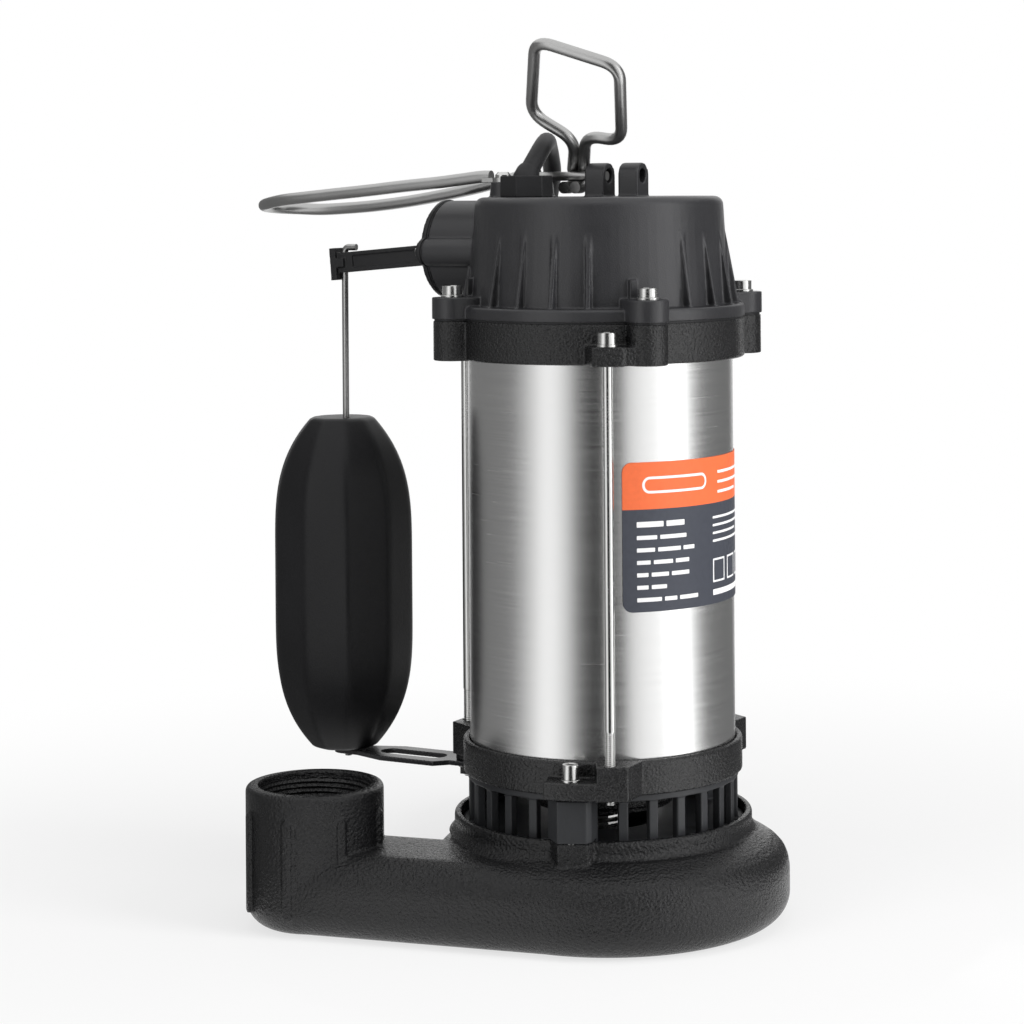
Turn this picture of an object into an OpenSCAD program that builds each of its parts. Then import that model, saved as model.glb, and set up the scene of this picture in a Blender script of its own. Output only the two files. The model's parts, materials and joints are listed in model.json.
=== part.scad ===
// Submersible sump pump with a vertical float switch, a threaded discharge and a suction cage.
// Millimetres, +Z up. The origin is on the floor, on the axis of the motor shaft.
// The discharge arm points along -X. The float switch stands out along switch_a.

/* [Volute] */
// Radius of the round casing
volute_r = 77; // [74:0.5:80]
// Distance of the casing's centre from the shaft, along X and along -Y
volute_off = 5; // [4:0.5:6]
// Height of the casing's upright wall
volute_wall_h = 22; // [20:0.5:24]
// Height of the casing's roof
volute_h = 37; // [36.5:0.5:37.5]
// Thickness of the casing's floor
volute_floor = 8; // [5:0.5:10]
// Rounding of the casing's lower edge
volute_edge = 12; // [8:0.5:13]
// Radius of the pumping chamber
chamber_r = 66; // [60:0.5:70]
// Outer radius of the collar round the cage
collar_r = 64.5; // [64:0.25:66]
// Height of the collar's top edge
collar_h = 45; // [43:0.5:46]

/* [Discharge] */
// Distance of the discharge port from the shaft, along -X
port_x = 113; // [105:1:125]
// Outer radius of the port
port_r = 29.5; // [27.5:0.25:31]
// Height of the port
port_h = 60; // [52:0.5:66]
// Radius of the threaded bore, for a 1 1/2 inch pipe
port_bore_r = 24; // [20:0.25:24.5]
// Depth of the threaded bore
port_bore_depth = 26; // [20:0.5:30]
// Height of the arm between casing and port
arm_h = 35; // [33:0.5:37]
// How far each side of the arm lies inside the port's width
arm_inset = 0.4; // [0.2:0.1:1]
// Rounding of the arm's upper edges
arm_edge = 14; // [10:0.5:16]
// Radius of the water passage in the arm
arm_bore_r = 12; // [8:0.5:12.5]
// Number of raised ribs round the port
port_ribs = 8; // [4:1:12]
// Width of a port rib
port_rib_w = 4; // [3:0.5:5]
// How far a port rib stands out
port_rib_t = 1.5; // [1:0.25:2.5]

/* [Cage] */
// Outer radius of the suction cage
cage_r = 58.7; // [57:0.1:59]
// Wall of the suction cage
cage_wall = 4; // [3:0.5:5]
// Number of bars round the cage
cage_bars = 28; // [20:1:32]
// Width of a bar
cage_bar_w = 4.1; // [3:0.1:5]
// Thickness of the plate under the cage
cage_plate_t = 4; // [3:0.5:5]
// Height of the band on top of the cage
cage_band_h = 2.8; // [2:0.1:4]
// Radius of the suction eye
eye_r = 23.5; // [22.5:0.25:25]

/* [Motor housing] */
// Height of the underside of the lower flange
flange_z = 62.8; // [62.5:0.1:63.5]
// Thickness of the lower flange's web
web_t = 7.2; // [6:0.2:8]
// Outer radius of the lower flange
flange_r = 60.5; // [60:0.1:61.5]
// Depth to which the tube sits in the lower flange
flange_socket = 7; // [5:0.5:9]
// Outer radius of the motor tube
tube_r = 57.5; // [57:0.1:57.6]
// Wall of the motor tube
tube_wall = 1.2; // [1:0.1:1.6]
// Length of the motor tube
tube_len = 180; // [176:1:182]
// Outer radius of the upper flange
head_r = 62.8; // [62:0.1:63.5]
// Thickness of the upper flange's web
head_web_t = 7.5; // [6:0.5:8]
// How far the upper flange reaches down over the tube
head_socket = 9.4; // [7:0.2:11]

/* [Tie rods and lugs] */
// Radius of the circle of tie rods
tie_pcr = 67.5; // [67:0.1:68.5]
// Radius of a tie rod
tie_r = 2.15; // [1.8:0.05:2.4]
// Width of a tie rod lug's outer face
lug_w = 12.8; // [11:0.2:13.4]
// Radius of the circle of volute bolts
bolt_pcr = 67; // [66.5:0.1:68]
// Radius of a volute bolt
bolt_r = 2.4; // [2:0.05:2.5]
// Width of the ledge under a volute bolt's head
ledge_w = 21.5; // [18:0.5:22]
// Clearance between a fastener and its hole
bolt_gap = 0.15; // [0.1:0.05:0.4]

/* [Shaft and impeller] */
// Radius of the shaft in the lower bearing
shaft_r = 7.5; // [7.4:0.05:7.55]
// Radius of the shaft at the seal and the impeller
shaft_nose_r = 6; // [5.5:0.25:6.5]
// Radius of the impeller
impeller_r = 46; // [42:0.5:50]
// Height of the impeller's underside
impeller_z = 12.5; // [12:0.25:13.5]
// Height of the impeller over its two shrouds
impeller_h = 19.5; // [17:0.5:20]
// Number of impeller vanes
impeller_vanes = 6; // [4:1:8]
// Radius of the rotor core
rotor_r = 30; // [26:0.5:31]
// Length of the rotor and stator cores
core_len = 90; // [70:1:94]
// Bore radius of the stator core
stator_bore_r = 31; // [30.9:0.1:33]
// Running clearance round the shaft
run_gap = 0.05; // [0.03:0.01:0.08]

/* [Cap] */
// Thickness of the cap's flange
cap_flange_t = 5.3; // [4:0.1:7]
// Thickness of the gasket under the cap
cap_gasket_t = 0.8; // [0.5:0.1:1]
// Height of the cap's deck above the cap's seat
cap_h = 51.7; // [51.3:0.1:53]
// Radius of the cap at its flange
cap_low_r = 56.5; // [56:0.25:57.5]
// Radius of the cap at its deck
cap_top_r = 54; // [53.5:0.25:55]
// Wall of the cap
cap_wall = 3; // [2.5:0.25:3.5]
// Radius of the circle of cap screws
cap_pcr = 66; // [65:0.25:67]
// Radius of the round end of a cap lug
cap_lug_r = 8.7; // [7.5:0.1:9]
// Height of the cap lugs above the cap's gasket
cap_lug_h = 9.3; // [8:0.1:11]
// Number of fins between two cap lugs
cap_fins = 4; // [2:1:5]
// Thickness of a fin
cap_fin_t = 2.1; // [1:0.1:2.5]
// Depth of a fin's top below the deck
cap_fin_drop = 14.5; // [12:0.5:20]

/* [Float switch] */
// Direction in which the float switch stands out
switch_a = 170; // [168:0.5:172]
// Height of the switch cover's centre above the cap's seat
cover_rise = 28.7; // [28.2:0.1:29.2]
// Radius of the switch cover
cover_r = 21.9; // [21:0.1:22.5]
// Distance of the switch cover's outer face from the shaft
cover_s = 78; // [77.5:0.25:79]
// Thickness of the switch cover
cover_t = 3; // [2.5:0.1:3.5]
// Distance of the lever's pivot from the shaft
pivot_s = 71; // [70.5:0.25:71.5]
// Depth of the lever's pivot below the switch cover's centre
pivot_drop = 1.5; // [1:0.25:2]
// Droop of the lever at rest, degrees
lever_droop = 4.8; // [4.5:0.1:5.2]
// Height of the lever's section
lever_h = 9.2; // [8:0.1:9.5]
// Width of the lever's section
lever_w = 7; // [5:0.25:7.5]
// Radius of the float rod
rod_r = 1.5; // [1.3:0.05:1.7]
// Distance of the float rod from the shaft
rod_s = 131; // [129:0.5:132]
// How far the float rod stands out under the bracket
rod_tip = 1.8; // [1.5:0.1:2.5]
// Radius of the float
float_r = 32; // [29:0.1:33]
// How far the float's middle lies outside its rod
float_shift = 2; // [0:0.25:3]
// Length of the float
float_len = 150; // [140:0.5:151]
// Radius of the float's flat ends
float_end_r = 14.5; // [10:0.5:18]
// Length of the float's drawn-in ends
float_taper = 60; // [50:1:68]
// How early the float swells to its full radius
float_swell = 3.2; // [2.4:0.1:3.6]
// Wall of the float
float_wall = 2.2; // [1.5:0.1:3]
// Number of flats round the float
float_flats = 10; // [8:1:12]
// Thickness of the float bracket
bracket_t = 2.2; // [2:0.1:2.5]
// Width of the float bracket
bracket_w = 23; // [20:0.5:25]

/* [Handle and guard] */
// Radius of the guard wire
guard_r = 2.7; // [2.3:0.05:2.9]
// Half the distance between the guard's two strands
guard_half_w = 17; // [16:0.5:18]
// Reach of the guard from the shaft
guard_reach = 173; // [167:1:179]
// Radius of the handle wire
bail_r = 2.6; // [2.3:0.05:2.7]
// Radius of the handle's pin
pin_r = 2; // [1.8:0.05:2.1]
// Height of the handle's pin above the deck
pin_rise = 8.9; // [8.5:0.1:9.5]
// Distance of the handle's pin from the shaft, across the switch's direction
pin_q = 8; // [6:0.5:9]
// Thickness of a deck ear
ear_t = 9.3; // [8:0.1:9.6]
// Width of a deck ear
ear_w = 11.3; // [10:0.1:12]
// Height of a deck ear above the deck
ear_h = 14.5; // [13.5:0.1:16]
// Radius of the hole in a deck ear
ear_hole_r = 3.1; // [2.6:0.1:3.4]

/* [Cord] */
// Diameter of the power cord
cord_d = 8.2; // [7.8:0.1:8.4]
// Width across the flats of the gland nut
gland_af = 19.7; // [18:0.1:20.5]
// Height of the gland nut above the deck
gland_h = 9.2; // [8.5:0.1:10]

/* [Hidden] */
$fn = 96;

touch = 0.3;
cast = "#2e2e30";
black = "#242426";
steel = "#b9bab8";
bright = "#d4d4d2";
rubber = "#1b1b1c";

// Angles of the tie rods, the volute bolts and the cap screws round the shaft
tie_angles = [-70, 50, switch_a];
bolt_angles = [-84, 64, switch_a - 14];
cap_angles = [35, 125, 215, 305];

// Heights up the stack
cage_z = volute_h;
plate_top_z = cage_z + cage_plate_t;
web_top_z = flange_z + web_t;
flange_top_z = web_top_z + flange_socket;
tube_top_z = web_top_z + tube_len;
head_low_z = tube_top_z - head_socket;
head_top_z = tube_top_z + head_web_t;
cap_low_z = head_top_z + cap_gasket_t;
cap_flange_top_z = cap_low_z + cap_flange_t;
cap_lug_top_z = cap_low_z + cap_lug_h;
cover_z = cap_low_z + cover_rise;
pivot_z = cover_z - pivot_drop;
deck_z = cap_low_z + cap_h;
pin_z = deck_z + pin_rise;
ear_top_z = deck_z + ear_h;
gland_top_z = deck_z + gland_h;
tie_seat_z = tube_top_z - 1.2;
bolt_seat_z = flange_z + 7.6;
tie_foot_t = 3.3;
// Heights of the tie rod lugs' and the bolt ledges' undersides above the flange's
lug_lift = 0.2;
ledge_lift = 0.45;
// How deep a lug or ledge is rooted in its flange
lug_root = 2.2;
// How far a tie rod lug reaches outside its rod, and the side to which the lower one spreads
lug_out = 4.1;
lug_hands = [1, -1, 1];
// How far a lug's outer face lies off its rod, and how far its two sides spread towards the flange
low_lug_shift = 0.6;
low_lug_spread = [0, 6.9];
high_lug_spread = [2.9, 2.9];
bracket_top_z = flange_z - tie_foot_t;
core_z = web_top_z + 30;

// ---- Shapes that repeat ----

// A block with its four long edges rounded, drawn in the plane
module rounded_rect(w, h, low_r, top_r) {
    translate([-w / 2, low_r]) square([w, h - low_r - top_r]);
    translate([-w / 2 + low_r, 0]) square([w - 2 * low_r, h / 2]);
    translate([-w / 2 + top_r, h / 2]) square([w - 2 * top_r, h / 2]);
    for (side = [-1, 1]) {
        translate([side * (w / 2 - low_r), low_r]) circle(low_r);
        translate([side * (w / 2 - top_r), h - top_r]) circle(top_r);
    }
}

// A bar with a round end, pointing along +X from the axis to its round end's centre
module round_bar(from_r, to_r, width, z, h) {
    translate([from_r, -width / 2, z]) cube([to_r - from_r, width, h]);
    translate([to_r, 0, z]) cylinder(h = h, d = width, $fn = 48);
}

// A bar with two round ends, between two distances along +X
module slot_bar(from_r, to_r, width, z, h) {
    round_bar(from_r, to_r, width, z, h);
    translate([from_r, 0, z]) cylinder(h = h, d = width, $fn = 48);
}

// A turned ring
module ring(outer, inner, z, h) {
    rotate_extrude() translate([inner, z]) square([outer - inner, h]);
}

// A hexagonal head with its flats a given width apart
module hex_head(af, h) {
    cylinder(h = h, d = af / cos(30), $fn = 6);
}

// A button head with a cross recess
module pan_head(r, h) {
    difference() {
        union() {
            cylinder(h = h / 2, r = r, $fn = 40);
            translate([0, 0, h / 2]) cylinder(h = h / 2, r1 = r, r2 = r * 0.7, $fn = 40);
        }
        for (turn = [0, 90])
            rotate([0, 0, turn + 20]) translate([-r * 0.55, -r * 0.12, h * 0.55])
                cube([r * 1.1, r * 0.24, h]);
    }
}

// Places a child on a circle round the shaft
module at(radius, angle) {
    rotate([0, 0, angle]) translate([radius, 0, 0]) children();
}

// Holes on a circle round the shaft, between two heights
module holes(angles, radius, r, low, high) {
    for (a = angles) at(radius, a) translate([0, 0, low]) cylinder(h = high - low, r = r);
}

// Turns a child so that its +X points where the float switch does
module switch_frame() {
    rotate([0, 0, switch_a]) children();
}

// Lays a shape that is drawn round Z along the switch's direction, from a distance outwards
module along_switch(s, q, z) {
    switch_frame() translate([s, q, z]) rotate([0, 90, 0]) children();
}

// ---- Tubes swept along points ----

function unit(v) = v / norm(v);

// Direction of travel at each point
function headings(p) = [for (i = [0 : len(p) - 1])
    unit(p[min(i + 1, len(p) - 1)] - p[max(i - 1, 0)])];

// A side direction carried from point to point without twist
function carried(n, t) = unit(n - (n * t) * t);
function sides_of(t, first) = [
    for (i = 0, n = carried(first, t[0]); i < len(t);
         i = i + 1, n = i < len(t) ? carried(n, t[i]) : n) n];

// A smooth curve through points, with steps pieces between each two
function smooth(p, steps) = let (last = len(p) - 1) [
    for (i = [0 : last - 1], k = [0 : steps - 1])
        let (u = k / steps, a = p[max(i - 1, 0)], b = p[i], c = p[i + 1], d = p[min(i + 2, last)])
        0.5 * ((2 * b) + (c - a) * u + (2 * a - 5 * b + 4 * c - d) * u * u
            + (3 * b - a - 3 * c + d) * u * u * u),
    p[last]];

// Length along points
function run_length(p, i = 0) = i >= len(p) - 1 ? 0 : norm(p[i + 1] - p[i]) + run_length(p, i + 1);

module tube_along(p, r, sides, first = [0, 0, 1]) {
    t = headings(p);
    n = sides_of(t, first);
    last = len(p) - 1;
    points = [for (i = [0 : last], j = [0 : sides - 1])
        let (a = 360 * j / sides, b = cross(t[i], n[i]), reach = is_list(r) ? r[i] : r)
        p[i] + reach * (cos(a) * n[i] + sin(a) * b)];
    skin = [for (i = [0 : last - 1], j = [0 : sides - 1])
        let (k = (j + 1) % sides, low = i * sides, high = low + sides)
        each [[low + j, high + k, low + k], [low + j, high + j, high + k]]];
    start = [for (j = [1 : sides - 2]) [0, j, j + 1]];
    end = [for (j = [1 : sides - 2]) [last * sides, last * sides + j + 1, last * sides + j]];
    polyhedron(points = points, faces = concat(skin, start, end), convexity = 10);
}

// ---- Pump end ----

// Outline of a volute bolt boss, in the frame of its own angle: across, outwards
boss_outline = [[-9, 56], [-8.5, 66], [-7, 69], [4.9, 71], [11, 61], [11.5, 56]];
// Height of the bosses' feet above the casing's wall, within the roof
boss_foot = 1.5;
// The bosses stand a little above the collar
boss_top_z = collar_h + 0.35;

module bolt_boss(z, h) {
    for (a = bolt_angles)
        rotate([0, 0, a]) translate([0, 0, z]) linear_extrude(h) rotate(-90) polygon(boss_outline);
}

module casing_outline() {
    edge = volute_edge;
    translate([volute_r - edge, edge]) circle(edge);
    square([volute_r - edge, volute_wall_h]);
    translate([0, edge]) square([volute_r, volute_wall_h - edge]);
    rise = volute_h - volute_wall_h;
    polygon([
        [0, volute_wall_h - 1], [volute_r, volute_wall_h - 1], [volute_r, volute_wall_h],
        [volute_r - 0.7, volute_wall_h + 0.27 * rise], [volute_r - 2, volute_wall_h + 0.47 * rise],
        [volute_r - 4.5, volute_wall_h + 0.65 * rise], [volute_r - 8, volute_wall_h + 0.8 * rise],
        [volute_r - 15, volute_h], [0, volute_h]
    ]);
}

module collar_outline() {
    lip = 1.2;
    translate([collar_r - 12, volute_wall_h]) square([12, collar_h - lip - volute_wall_h]);
    translate([collar_r - 12, volute_wall_h]) square([12 - lip, collar_h - volute_wall_h]);
    translate([collar_r - lip, collar_h - lip]) circle(lip, $fn = 24);
    polygon([[collar_r - 3, volute_h - 2], [collar_r + 3, volute_h - 1], [collar_r + 1, volute_h + 0.6],
        [collar_r, volute_h + 2.5], [collar_r - 3, volute_h + 2.5]]);
}

module port_outline() {
    lip = 2.5;
    edge = volute_edge;
    translate([port_r - edge, edge]) circle(edge);
    square([port_r - edge, port_h]);
    translate([0, edge]) square([port_r, port_h - lip - edge]);
    translate([0, edge]) square([port_r - lip, port_h - edge]);
    translate([port_r - lip, port_h - lip]) circle(lip, $fn = 32);
}

port_y = port_r - volute_r - volute_off;
port_low_z = port_h - port_bore_depth;
collar_bore_r = cage_r + 2.9;

module volute() color(cast) difference() {
    union() {
        translate([volute_off, -volute_off, 0]) rotate_extrude($fn = 144) casing_outline();
        rotate_extrude($fn = 144) collar_outline();
        translate([-port_x, port_y, 0]) rotate([90, 0, 90])
            linear_extrude(port_x) rounded_rect(2 * (port_r - arm_inset), arm_h, volute_edge, arm_edge);
        translate([-port_x, port_y, 0]) {
            rotate_extrude() port_outline();
            for (i = [0 : port_ribs - 1])
                rotate([0, 0, i * 360 / port_ribs]) {
                    translate([port_r - 2, -port_rib_w / 2, 10])
                        cube([2 + port_rib_t, port_rib_w, port_h - 22]);
                    for (z = [10, port_h - 12])
                        translate([port_r - 2, 0, z]) rotate([0, 90, 0])
                            cylinder(h = 2 + port_rib_t, d = port_rib_w, $fn = 32);
                }
        }
        bolt_boss(volute_wall_h + boss_foot, boss_top_z - volute_wall_h - boss_foot);
    }
    translate([volute_off, -volute_off, volute_floor])
        cylinder(h = volute_h - 7 - volute_floor, r = chamber_r);
    translate([0, 0, volute_floor]) cylinder(h = collar_h, r = collar_bore_r - 5.6);
    translate([0, 0, cage_z]) cylinder(h = collar_h, r = collar_bore_r);
    translate([-port_x, port_y, volute_floor + arm_bore_r]) rotate([0, 90, 0])
        cylinder(h = port_x, r = arm_bore_r);
    translate([-port_x, port_y, volute_floor]) cylinder(h = port_h, r = port_bore_r - 2);
    translate([-port_x, port_y, port_low_z]) cylinder(h = port_h, r = port_bore_r);
    holes(bolt_angles, bolt_pcr, bolt_r + bolt_gap, volute_wall_h + 3, boss_top_z + 1);
}

module cage() color("#3a3b3d") difference() {
    band_z = flange_z - cage_band_h;
    union() {
        ring(collar_bore_r - touch, eye_r, cage_z, cage_plate_t);
        ring(cage_r, cage_r - cage_wall - 3, band_z, cage_band_h);
        for (i = [0 : cage_bars - 1])
            rotate([0, 0, -90 + i * 360 / cage_bars])
                translate([cage_r - cage_wall, -cage_bar_w / 2, plate_top_z])
                    cube([cage_wall - 0.4, cage_bar_w, band_z - plate_top_z]);
        bolt_boss(boss_top_z, flange_z - boss_top_z);
        // The eye's lip runs round the impeller's neck
        ring(eye_r + 3, eye_r, cage_z - 3.5, 3.5);
    }
    translate([0, 0, plate_top_z]) cylinder(h = band_z - plate_top_z, r = cage_r - cage_wall);
    holes(bolt_angles, bolt_pcr, bolt_r + bolt_gap, collar_h - 1, flange_z + 1);
}

impeller_top_z = impeller_z + impeller_h;
shroud_t = 3;
neck_r = eye_r - 0.6;

module impeller() color("#4a4a4c") difference() {
    vane_in = 12;
    union() {
        translate([0, 0, impeller_z]) cylinder(h = shroud_t, r = impeller_r);
        ring(impeller_r, neck_r - 3, impeller_top_z - shroud_t, shroud_t);
        ring(neck_r, neck_r - 3, impeller_top_z - 1, 5);
        translate([0, 0, impeller_z]) cylinder(h = impeller_h, r = 10);
        // Each vane is an arc of a circle, swept back towards the rim
        for (i = [0 : impeller_vanes - 1])
            rotate([0, 0, i * 360 / impeller_vanes]) intersection() {
                translate([0, vane_in + 14, impeller_z]) ring(28, 25.5, 0.5, impeller_h - 1);
                translate([0, -4, impeller_z]) cube([impeller_r, impeller_r + 4, impeller_h]);
                ring(impeller_r - 0.5, 9, impeller_z + 1, impeller_h - 2);
            }
    }
    translate([0, 0, impeller_z + 4]) cylinder(h = 60, r = shaft_nose_r);
    translate([0, 0, impeller_z - 1]) cylinder(h = 60, r = 3.2);
}

module impeller_bolt() color(steel) {
    translate([0, 0, impeller_z - 1]) cylinder(h = 1, r = 7, $fn = 48);
    translate([0, 0, impeller_z - 4]) hex_head(10, 3);
    translate([0, 0, impeller_z - 1]) cylinder(h = 19, r = 3, $fn = 40);
}

// ---- Shaft, bearings and seals ----

bearing_low_z = web_top_z + 8;
bearing_low_h = 11;
bearing_low_r = 17.5;
bearing_top_z = tube_top_z - 17;
bearing_top_h = 10;
bearing_top_r = 16;
seal_face_z = flange_z - 8.3;

module shaft() color(bright) difference() {
    union() {
        nose_z = impeller_z + 4;
        translate([0, 0, nose_z]) cylinder(h = bearing_low_z - 1 - nose_z, r = shaft_nose_r);
        translate([0, 0, bearing_low_z - 1]) cylinder(h = bearing_low_h + 2, r = shaft_r);
        low = bearing_low_z + bearing_low_h + 1;
        translate([0, 0, low]) cylinder(h = bearing_top_z - 1 - low, r = shaft_r + 1.5);
        translate([0, 0, bearing_top_z - 1]) cylinder(h = bearing_top_h + 2, r = shaft_nose_r);
    }
    translate([0, 0, impeller_z]) cylinder(h = 20, r = 3 + touch / 3);
}

module rotor_core() color("#8c8d90") difference() {
    union() {
        translate([0, 0, core_z]) cylinder(h = core_len, r = rotor_r);
        for (z = [core_z - 5, core_z + core_len]) ring(rotor_r - 1, rotor_r - 9, z, 5);
        // Cooling blades on the upper end ring
        for (i = [0 : 7])
            rotate([0, 0, 45 * i]) translate([rotor_r - 9, -1, core_z + core_len + 5]) cube([8, 2, 6]);
    }
    translate([0, 0, core_z - 1]) cylinder(h = core_len + 2, r = shaft_r + 1.5);
}

// A deep-groove ball bearing: two rings with a row of balls between them
module ball_bearing(outer, bore, z, h, balls) {
    mid = (outer + bore) / 2;
    ball = (outer - bore) * 0.29;
    difference() {
        union() {
            ring(outer, mid + ball * 0.55, z, h);
            ring(mid - ball * 0.55, bore, z, h);
        }
        translate([0, 0, z + h / 2]) rotate_extrude() translate([mid, 0]) circle(ball + 0.1, $fn = 40);
    }
    for (i = [0 : balls - 1])
        at(mid, i * 360 / balls) translate([0, 0, z + h / 2]) sphere(ball, $fn = 24);
}

module lower_bearing() color(steel)
    ball_bearing(bearing_low_r, shaft_r + run_gap, bearing_low_z, bearing_low_h, 8);

module upper_bearing() color(steel)
    ball_bearing(bearing_top_r, shaft_nose_r + run_gap, bearing_top_z, bearing_top_h, 7);

module seal_seat() color("#d8d4c8")
    ring(13.5, shaft_nose_r + 1.2, seal_face_z, flange_z - seal_face_z);

module seal_rotor() color("#1f1f21") {
    ring(11.5, shaft_nose_r, seal_face_z - 0.3 - 5, 5);
    ring(12.5, shaft_nose_r, impeller_top_z, 2);
}

// Wire spring wound round the shaft between the impeller hub and the sealing ring
module seal_spring() color(steel) {
    low = impeller_top_z + 2 + 0.8;
    high = seal_face_z - 0.3 - 5 - 0.8;
    turns = 5;
    wind = [for (i = [0 : turns * 12]) [9 * cos(30 * i), 9 * sin(30 * i),
        low + (high - low) * i / (turns * 12)]];
    tube_along(wind, 0.8, 6);
}

module lip_seal() color(rubber) difference() {
    ring(12, shaft_nose_r + run_gap, web_top_z + 1, 6);
    translate([0, 0, web_top_z]) cylinder(h = 4, r = 9);
}

// ---- Motor housing ----

// Sealing rings of round section against the inside of the tube, and the grooves that hold them
seal_ring_r = 1.45;
seal_ring_gap = 0.05;
seal_ring_in = 3.6;
module seal_groove(z) {
    reach = tube_r - tube_wall;
    half = seal_ring_r + 3 * seal_ring_gap;
    ring(reach, reach - 2 * (seal_ring_r + seal_ring_gap), z - half, 2 * half);
}

// Tie rod lugs on a flange. Their outer faces lie a shift off the rods, and their two sides spread
// towards the flange.
module tie_lugs(z, h, r_ring, shift, spread) {
    root = r_ring - lug_root;
    front = tie_pcr + lug_out;
    half = lug_w / 2;
    for (i = [0 : 2])
        rotate([0, 0, tie_angles[i]]) translate([0, 0, z]) linear_extrude(h)
            scale([1, lug_hands[i]]) polygon([[root, shift - half - spread[0]], [front, shift - half],
                [front, shift + half], [root, shift + half + spread[1]]]);
}

// Webs that join two of the upper lugs to the cap lugs beside them
web_shy = 0.25;
web_run = 15;
module lug_webs() {
    root = head_r - lug_root;
    front = tie_pcr + lug_out - web_shy;
    for (i = [0, 1])
        rotate([0, 0, tie_angles[i]]) translate([0, 0, head_low_z + web_shy])
            linear_extrude(tie_seat_z - head_low_z - 2 * web_shy) scale([1, lug_hands[i]])
                polygon([[root, 0], [front, 0], [front - 0.8, web_run], [root, web_run + 2]]);
}

module lower_flange() color(cast) difference() {
    union() {
        rotate_extrude($fn = 144) polygon([
            [tube_r + touch, web_top_z], [tube_r + touch, flange_top_z - 0.6],
            [tube_r + 0.9, flange_top_z], [flange_r - 0.9, flange_top_z], [flange_r, flange_top_z - 0.9],
            [flange_r, flange_z], [14, flange_z], [14, web_top_z]
        ]);
        ring(tube_r - tube_wall - touch, tube_r - tube_wall - 6, web_top_z - 1, flange_socket + 1);
        // The upper boss holds the bearing, the lower one the seal
        ring(bearing_low_r + 6, 10, web_top_z - 2, bearing_low_z + bearing_low_h - web_top_z + 2);
        ring(32, 10, flange_z - 12, 12 + web_t);
        ring(30, 28, flange_z - 14.5, 3);
        tie_lugs(flange_z + lug_lift, flange_top_z - flange_z, flange_r, low_lug_shift, low_lug_spread);
        for (a = bolt_angles)
            rotate([0, 0, a]) intersection() {
                translate([flange_r - lug_root, -ledge_w / 2, flange_z + ledge_lift])
                    cube([20, ledge_w, bolt_seat_z - flange_z - ledge_lift]);
                cylinder(h = 200, r = bolt_pcr + 5);
            }
        rotate([0, 0, switch_a]) translate([tie_pcr, 0, bracket_top_z]) cylinder(h = 6, r = 5.6);
    }
    translate([0, 0, bearing_low_z]) cylinder(h = 60, r = bearing_low_r + run_gap);
    translate([0, 0, web_top_z + 1]) cylinder(h = 60, r = 12 + run_gap);
    translate([0, 0, flange_z]) cylinder(h = 60, r = shaft_nose_r + 1.2);
    translate([0, 0, seal_face_z - 10]) cylinder(h = flange_z - seal_face_z + 10, r = 13.5 + run_gap);
    seal_groove(web_top_z + seal_ring_in);
    holes(tie_angles, tie_pcr, tie_r + bolt_gap, bracket_top_z - 1, flange_top_z + 1);
    holes(bolt_angles, bolt_pcr, bolt_r + bolt_gap, flange_z - 1, bolt_seat_z + 1);
}

module tube_seal(z) color(rubber)
    rotate_extrude() translate([tube_r - tube_wall - seal_ring_r - seal_ring_gap, z])
        circle(seal_ring_r, $fn = 24);

module lower_oring() tube_seal(web_top_z + seal_ring_in);
module upper_oring() tube_seal(tube_top_z - seal_ring_in);

module motor_tube() color(steel)
    ring(tube_r, tube_r - tube_wall, web_top_z, tube_len);

// Thin plate wrapped round the tube, with rounded corners
plate_z = 138;
plate_h = 62;
plate_from = -63.8;
plate_to = 27.5;
plate_t = 0.35;
plate_glue = 0.15;
module nameplate() color("#c9702e")
    rotate([0, 0, plate_from]) rotate_extrude(angle = plate_to - plate_from)
        translate([tube_r + plate_glue, plate_z]) square([plate_t, plate_h]);

module stator_core() color("#77787c") difference() {
    translate([0, 0, core_z]) cylinder(h = core_len, r = tube_r - tube_wall - touch);
    translate([0, 0, core_z - 1]) cylinder(h = core_len + 2, r = stator_bore_r);
    for (i = [0 : 23])
        rotate([0, 0, 15 * i]) translate([stator_bore_r + 2, -1.8, core_z - 1])
            cube([12, 3.6, core_len + 2]);
}

// The end turns of the winding, laced into a ring above and below the core
module stator_windings() color("#a8602c") {
    for (z = [core_z - 16.2, core_z + core_len + 0.2])
        rotate_extrude() translate([stator_bore_r + 3, z]) {
            translate([0, 4]) square([17, 8]);
            translate([4, 0]) square([9, 16]);
            for (x = [4, 13], y = [4, 12]) translate([x, y]) circle(4, $fn = 32);
        }
    for (i = [0 : 23])
        rotate([0, 0, 15 * i]) translate([stator_bore_r + 3.5, -1.5, core_z - 3])
            cube([10, 3, core_len + 6]);
}

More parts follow.
